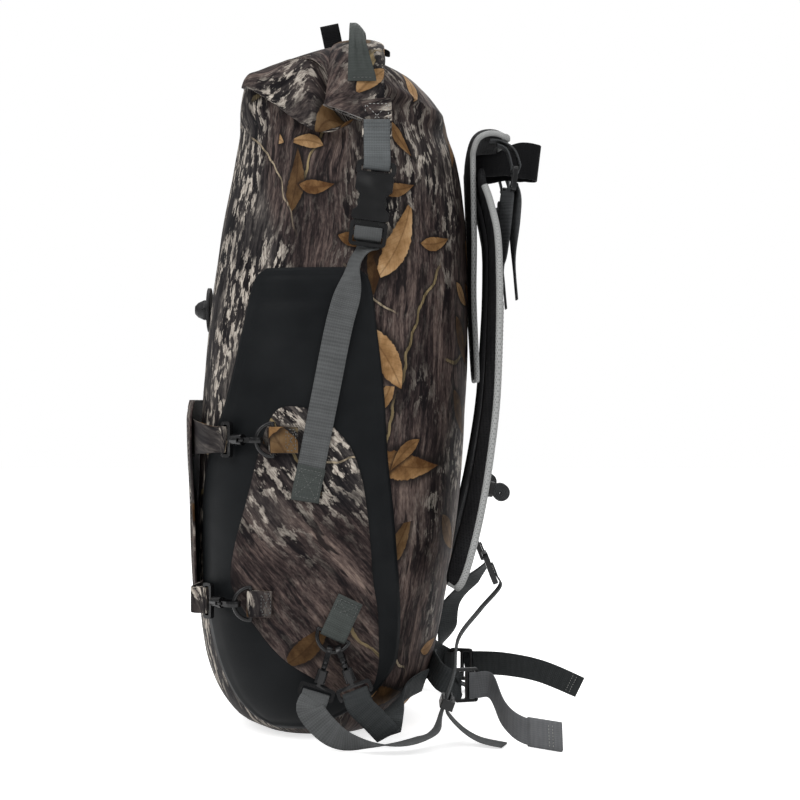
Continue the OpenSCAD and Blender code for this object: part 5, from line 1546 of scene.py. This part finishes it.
def make_belt():
    """Waist belt: a root at each lock, and two loose ends that lie differently; the near end is paler as painted
    light.
    """
    piece, sewn = Piece("waist_belt_webbing"), Piece("waist_belt_stitching")
    d, n = unit(V(-0.3, 1, 0)), unit(V(1, 0.3, 0))
    x = BAG_W * 0.16
    root = smooth([V(x - 20, rear_y(x - 20, 60) + 2.2, 60), V(x - 4, rear_y(x, 60) + 2.8, 60),
                   V(x + 18, rear_y(x, 60) + 11, 51)] + eye_turn(BELT_C - d * 9.9, d, n, 4.15)
                  + [BELT_C - d * 17 - n * 3], 5)
    mirrored(piece, root, [V(0, 0.38 * (1 - ease(6, 14, i)), 1) for i in range(len(root))],
             WEB)
    near = smooth([BELT_C + d * 2 + n * 4.4, BELT_C + d * 9 + n * 4.8, BELT_C + d * 20 + n * 16,
                   low_point(0.34, 0.62, 22), low_point(0.47, 0.68, 15), low_point(0.55, 0.8, 14)], 8)
    near_turn = leaning(near, 0.12)
    # The near loose end is drawn in paler webbing than the rest of the belt: painted light.
    tail = Piece("waist_belt_lit_end")
    tail.band(near, near_turn, WEB)
    hem = [near[-8].lerp(near[-1], k / 6) for k in range(7)]
    tail.band(hem, near_turn[-8:-1], strap_section(WEB_W + 2.4, WEB_T * 3))
    tail.done("bag", BELT_LIT_WEB, slot="dark_webbing")
    o = flip(BELT_C, -1)
    far = smooth([o + V(0.3, 1, 0) * 2 + V(-4.6, 1.4, 0), o + V(0.3, 1, 0) * 10 + V(-4.8, 1.4, 1),
                  low_point(-0.16, 0.66, 44), low_point(-0.13, 0.8, 38), low_point(-0.12, 0.95, 22)], 8)
    far_turn = leaning(far, 0.4)
    piece.band(far, far_turn, WEB)
    for path, turn, lift in ((near, near_turn, WEB_T * 1.5), (far, far_turn, WEB_T / 2)):
        i = len(path) - 3
        t = tangent(path, i)
        u = square_to(turn[i], t)
        w = t.cross(u)
        for up in (1, -1):
            a = path[i] + w * (up * (lift + 0.15))
            for back in (0, 4):
                sewn.stitch_row([a - u * 10.5 - t * back, a + u * 10.5 - t * back], w * up, 3.0)
    piece.done("bag", SLATE_AND_SHADE_WEB, ["belt_webbing"], "dark_webbing")
    sewn.done("bag", THREAD, slot="dark_webbing")


def dress_hardware():
    """Finishes and eased edges for the moulded and cast parts: finish, edge width and nodes."""
    finishes = [
        (PLASTIC, 0.7, ["buckle_females", "buckle_males", "lifter_locks", "lower_locks", "strap_keepers",
                        "chest_sliders", "belt_locks"]),
        (ARM_PLASTIC, 0.4, [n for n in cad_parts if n.startswith("squeeze_arm")]),
        (RUBBER, 0.6, ["valve_flange", "valve_cap"]),
        (PAINT, 0.5, [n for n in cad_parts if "_hook_" in n]),
        (PAINT, 0.25, [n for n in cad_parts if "_gate_" in n]),
        (PAINT, 0, ["panel_rings", "harness_rings"]),
        (STRIP, 0.3, ["roll_stiffener"]),
    ]
    for mat, edge, names in finishes:
        for name in names:
            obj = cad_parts[name]
            if obj.material_slots:
                for s in obj.material_slots:
                    s.material = mat
            else:
                obj.data.materials.append(mat)
            weld = obj.modifiers.new("weld", "WELD")
            weld.merge_threshold = 1e-5
            if edge:
                soft = obj.modifiers.new("edge", "BEVEL")
                soft.width, soft.segments, soft.limit_method = edge * MM, 2, "ANGLE"
                soft.angle_limit = math.radians(35)


make_bag()
make_base()
side_sheet("side_panel_pair", PANEL_LEFT, PANEL_RIGHT, PANEL_OFF, BLACK, "black_fabric", "side_panels", 0.5)
side_sheet("side_patch_pair", PATCH_LEFT, PATCH_RIGHT, PATCH_OFF, BARK_PATCH, "camo_fabric", "side_patches", 0.25)
for make in (make_roll, make_end_tabs, make_tab_webbing, make_side_straps, make_handle, make_pull_tabs,
             make_front_panel, make_panel_tabs, make_ring_tabs, make_harness_ring_tabs, make_yoke, make_haul_loop,
             make_shoulder_straps, make_lifters, make_lower_webbing, make_stabilisers, make_chest_webbing, make_belt,
             dress_hardware):
    make()


# Floor and light

# Lamps: name, place, aim, size and power
LAMPS = [("key", (1.5, -1.3, 1.7), (0, 0, 0.35), 1.3, 27), ("front", (1.75, 0.3, 1.3), (0, 0.05, 0.4), 0.5, 3),
         ("fill", (1.6, 1.5, 1.1), (0, 0.05, 0.3), 1.5, 7), ("top", (-0.2, 0, 2.2), (0, 0, 0.3), 1.6, 16),
         ("back", (-1.6, 0.6, 1.4), (0, 0, 0.35), 1.4, 12)]


def make_stage():
    mesh = bpy.data.meshes.new("floor")
    bm = bmesh.new()
    bmesh.ops.create_grid(bm, x_segments=2, y_segments=2, size=6)
    bm.to_mesh(mesh)
    bm.free()
    floor = bpy.data.objects.new("floor", mesh)
    scene.collection.objects.link(floor)
    f = Finish("floor_white")
    f.put("Base Color", (0.8, 0.8, 0.8))
    f.put("Roughness", 0.7)
    plain = Val(f, f.bsdf.outputs[0])
    glow = f.node("ShaderNodeEmission", {}, {"Color": (1, 1, 1), "Strength": 0.7})
    direct = f.math("MAXIMUM", f.ray("Is Camera Ray"), f.ray("Is Glossy Ray"))
    lit = f.node("ShaderNodeAddShader", {}, {0: plain, 1: glow})
    f.fill(f.found("OUTPUT_MATERIAL").inputs[0], f.node("ShaderNodeMixShader", {}, {0: direct, 1: plain, 2: lit}))
    mesh.materials.append(f.mat)

    scene.world = bpy.data.worlds.new("studio")
    scene.world.use_nodes = True
    w = Nodes(scene.world.node_tree)
    back = w.found("BACKGROUND")
    w.fill(back.inputs["Color"], (1, 1, 1))
    seen = w.math("MAXIMUM", w.ray("Is Camera Ray"), w.ray("Is Transmission Ray"))
    up = w.node("ShaderNodeSeparateXYZ", {}, {0: w.node("ShaderNodeTexCoord", out="Generated")}, "Z")
    sky = w.node("ShaderNodeMapRange", {}, {"Value": up, "From Min": 0.0, "From Max": 1.0, "To Min": 0.2,
                                            "To Max": 0.95})
    level = w.node("ShaderNodeMapRange", {}, {"Value": seen, "To Min": sky, "To Max": 1.0})
    w.fill(back.inputs["Strength"], level)

    for name, at, aim, size, power in LAMPS:
        data = bpy.data.lights.new(name, "AREA")
        data.energy, data.size = power, size
        lamp = bpy.data.objects.new(name, data)
        lamp.location = at
        lamp.rotation_euler = (Vector(aim) - Vector(at)).to_track_quat("-Z", "Y").to_euler()
        scene.collection.objects.link(lamp)


make_stage()
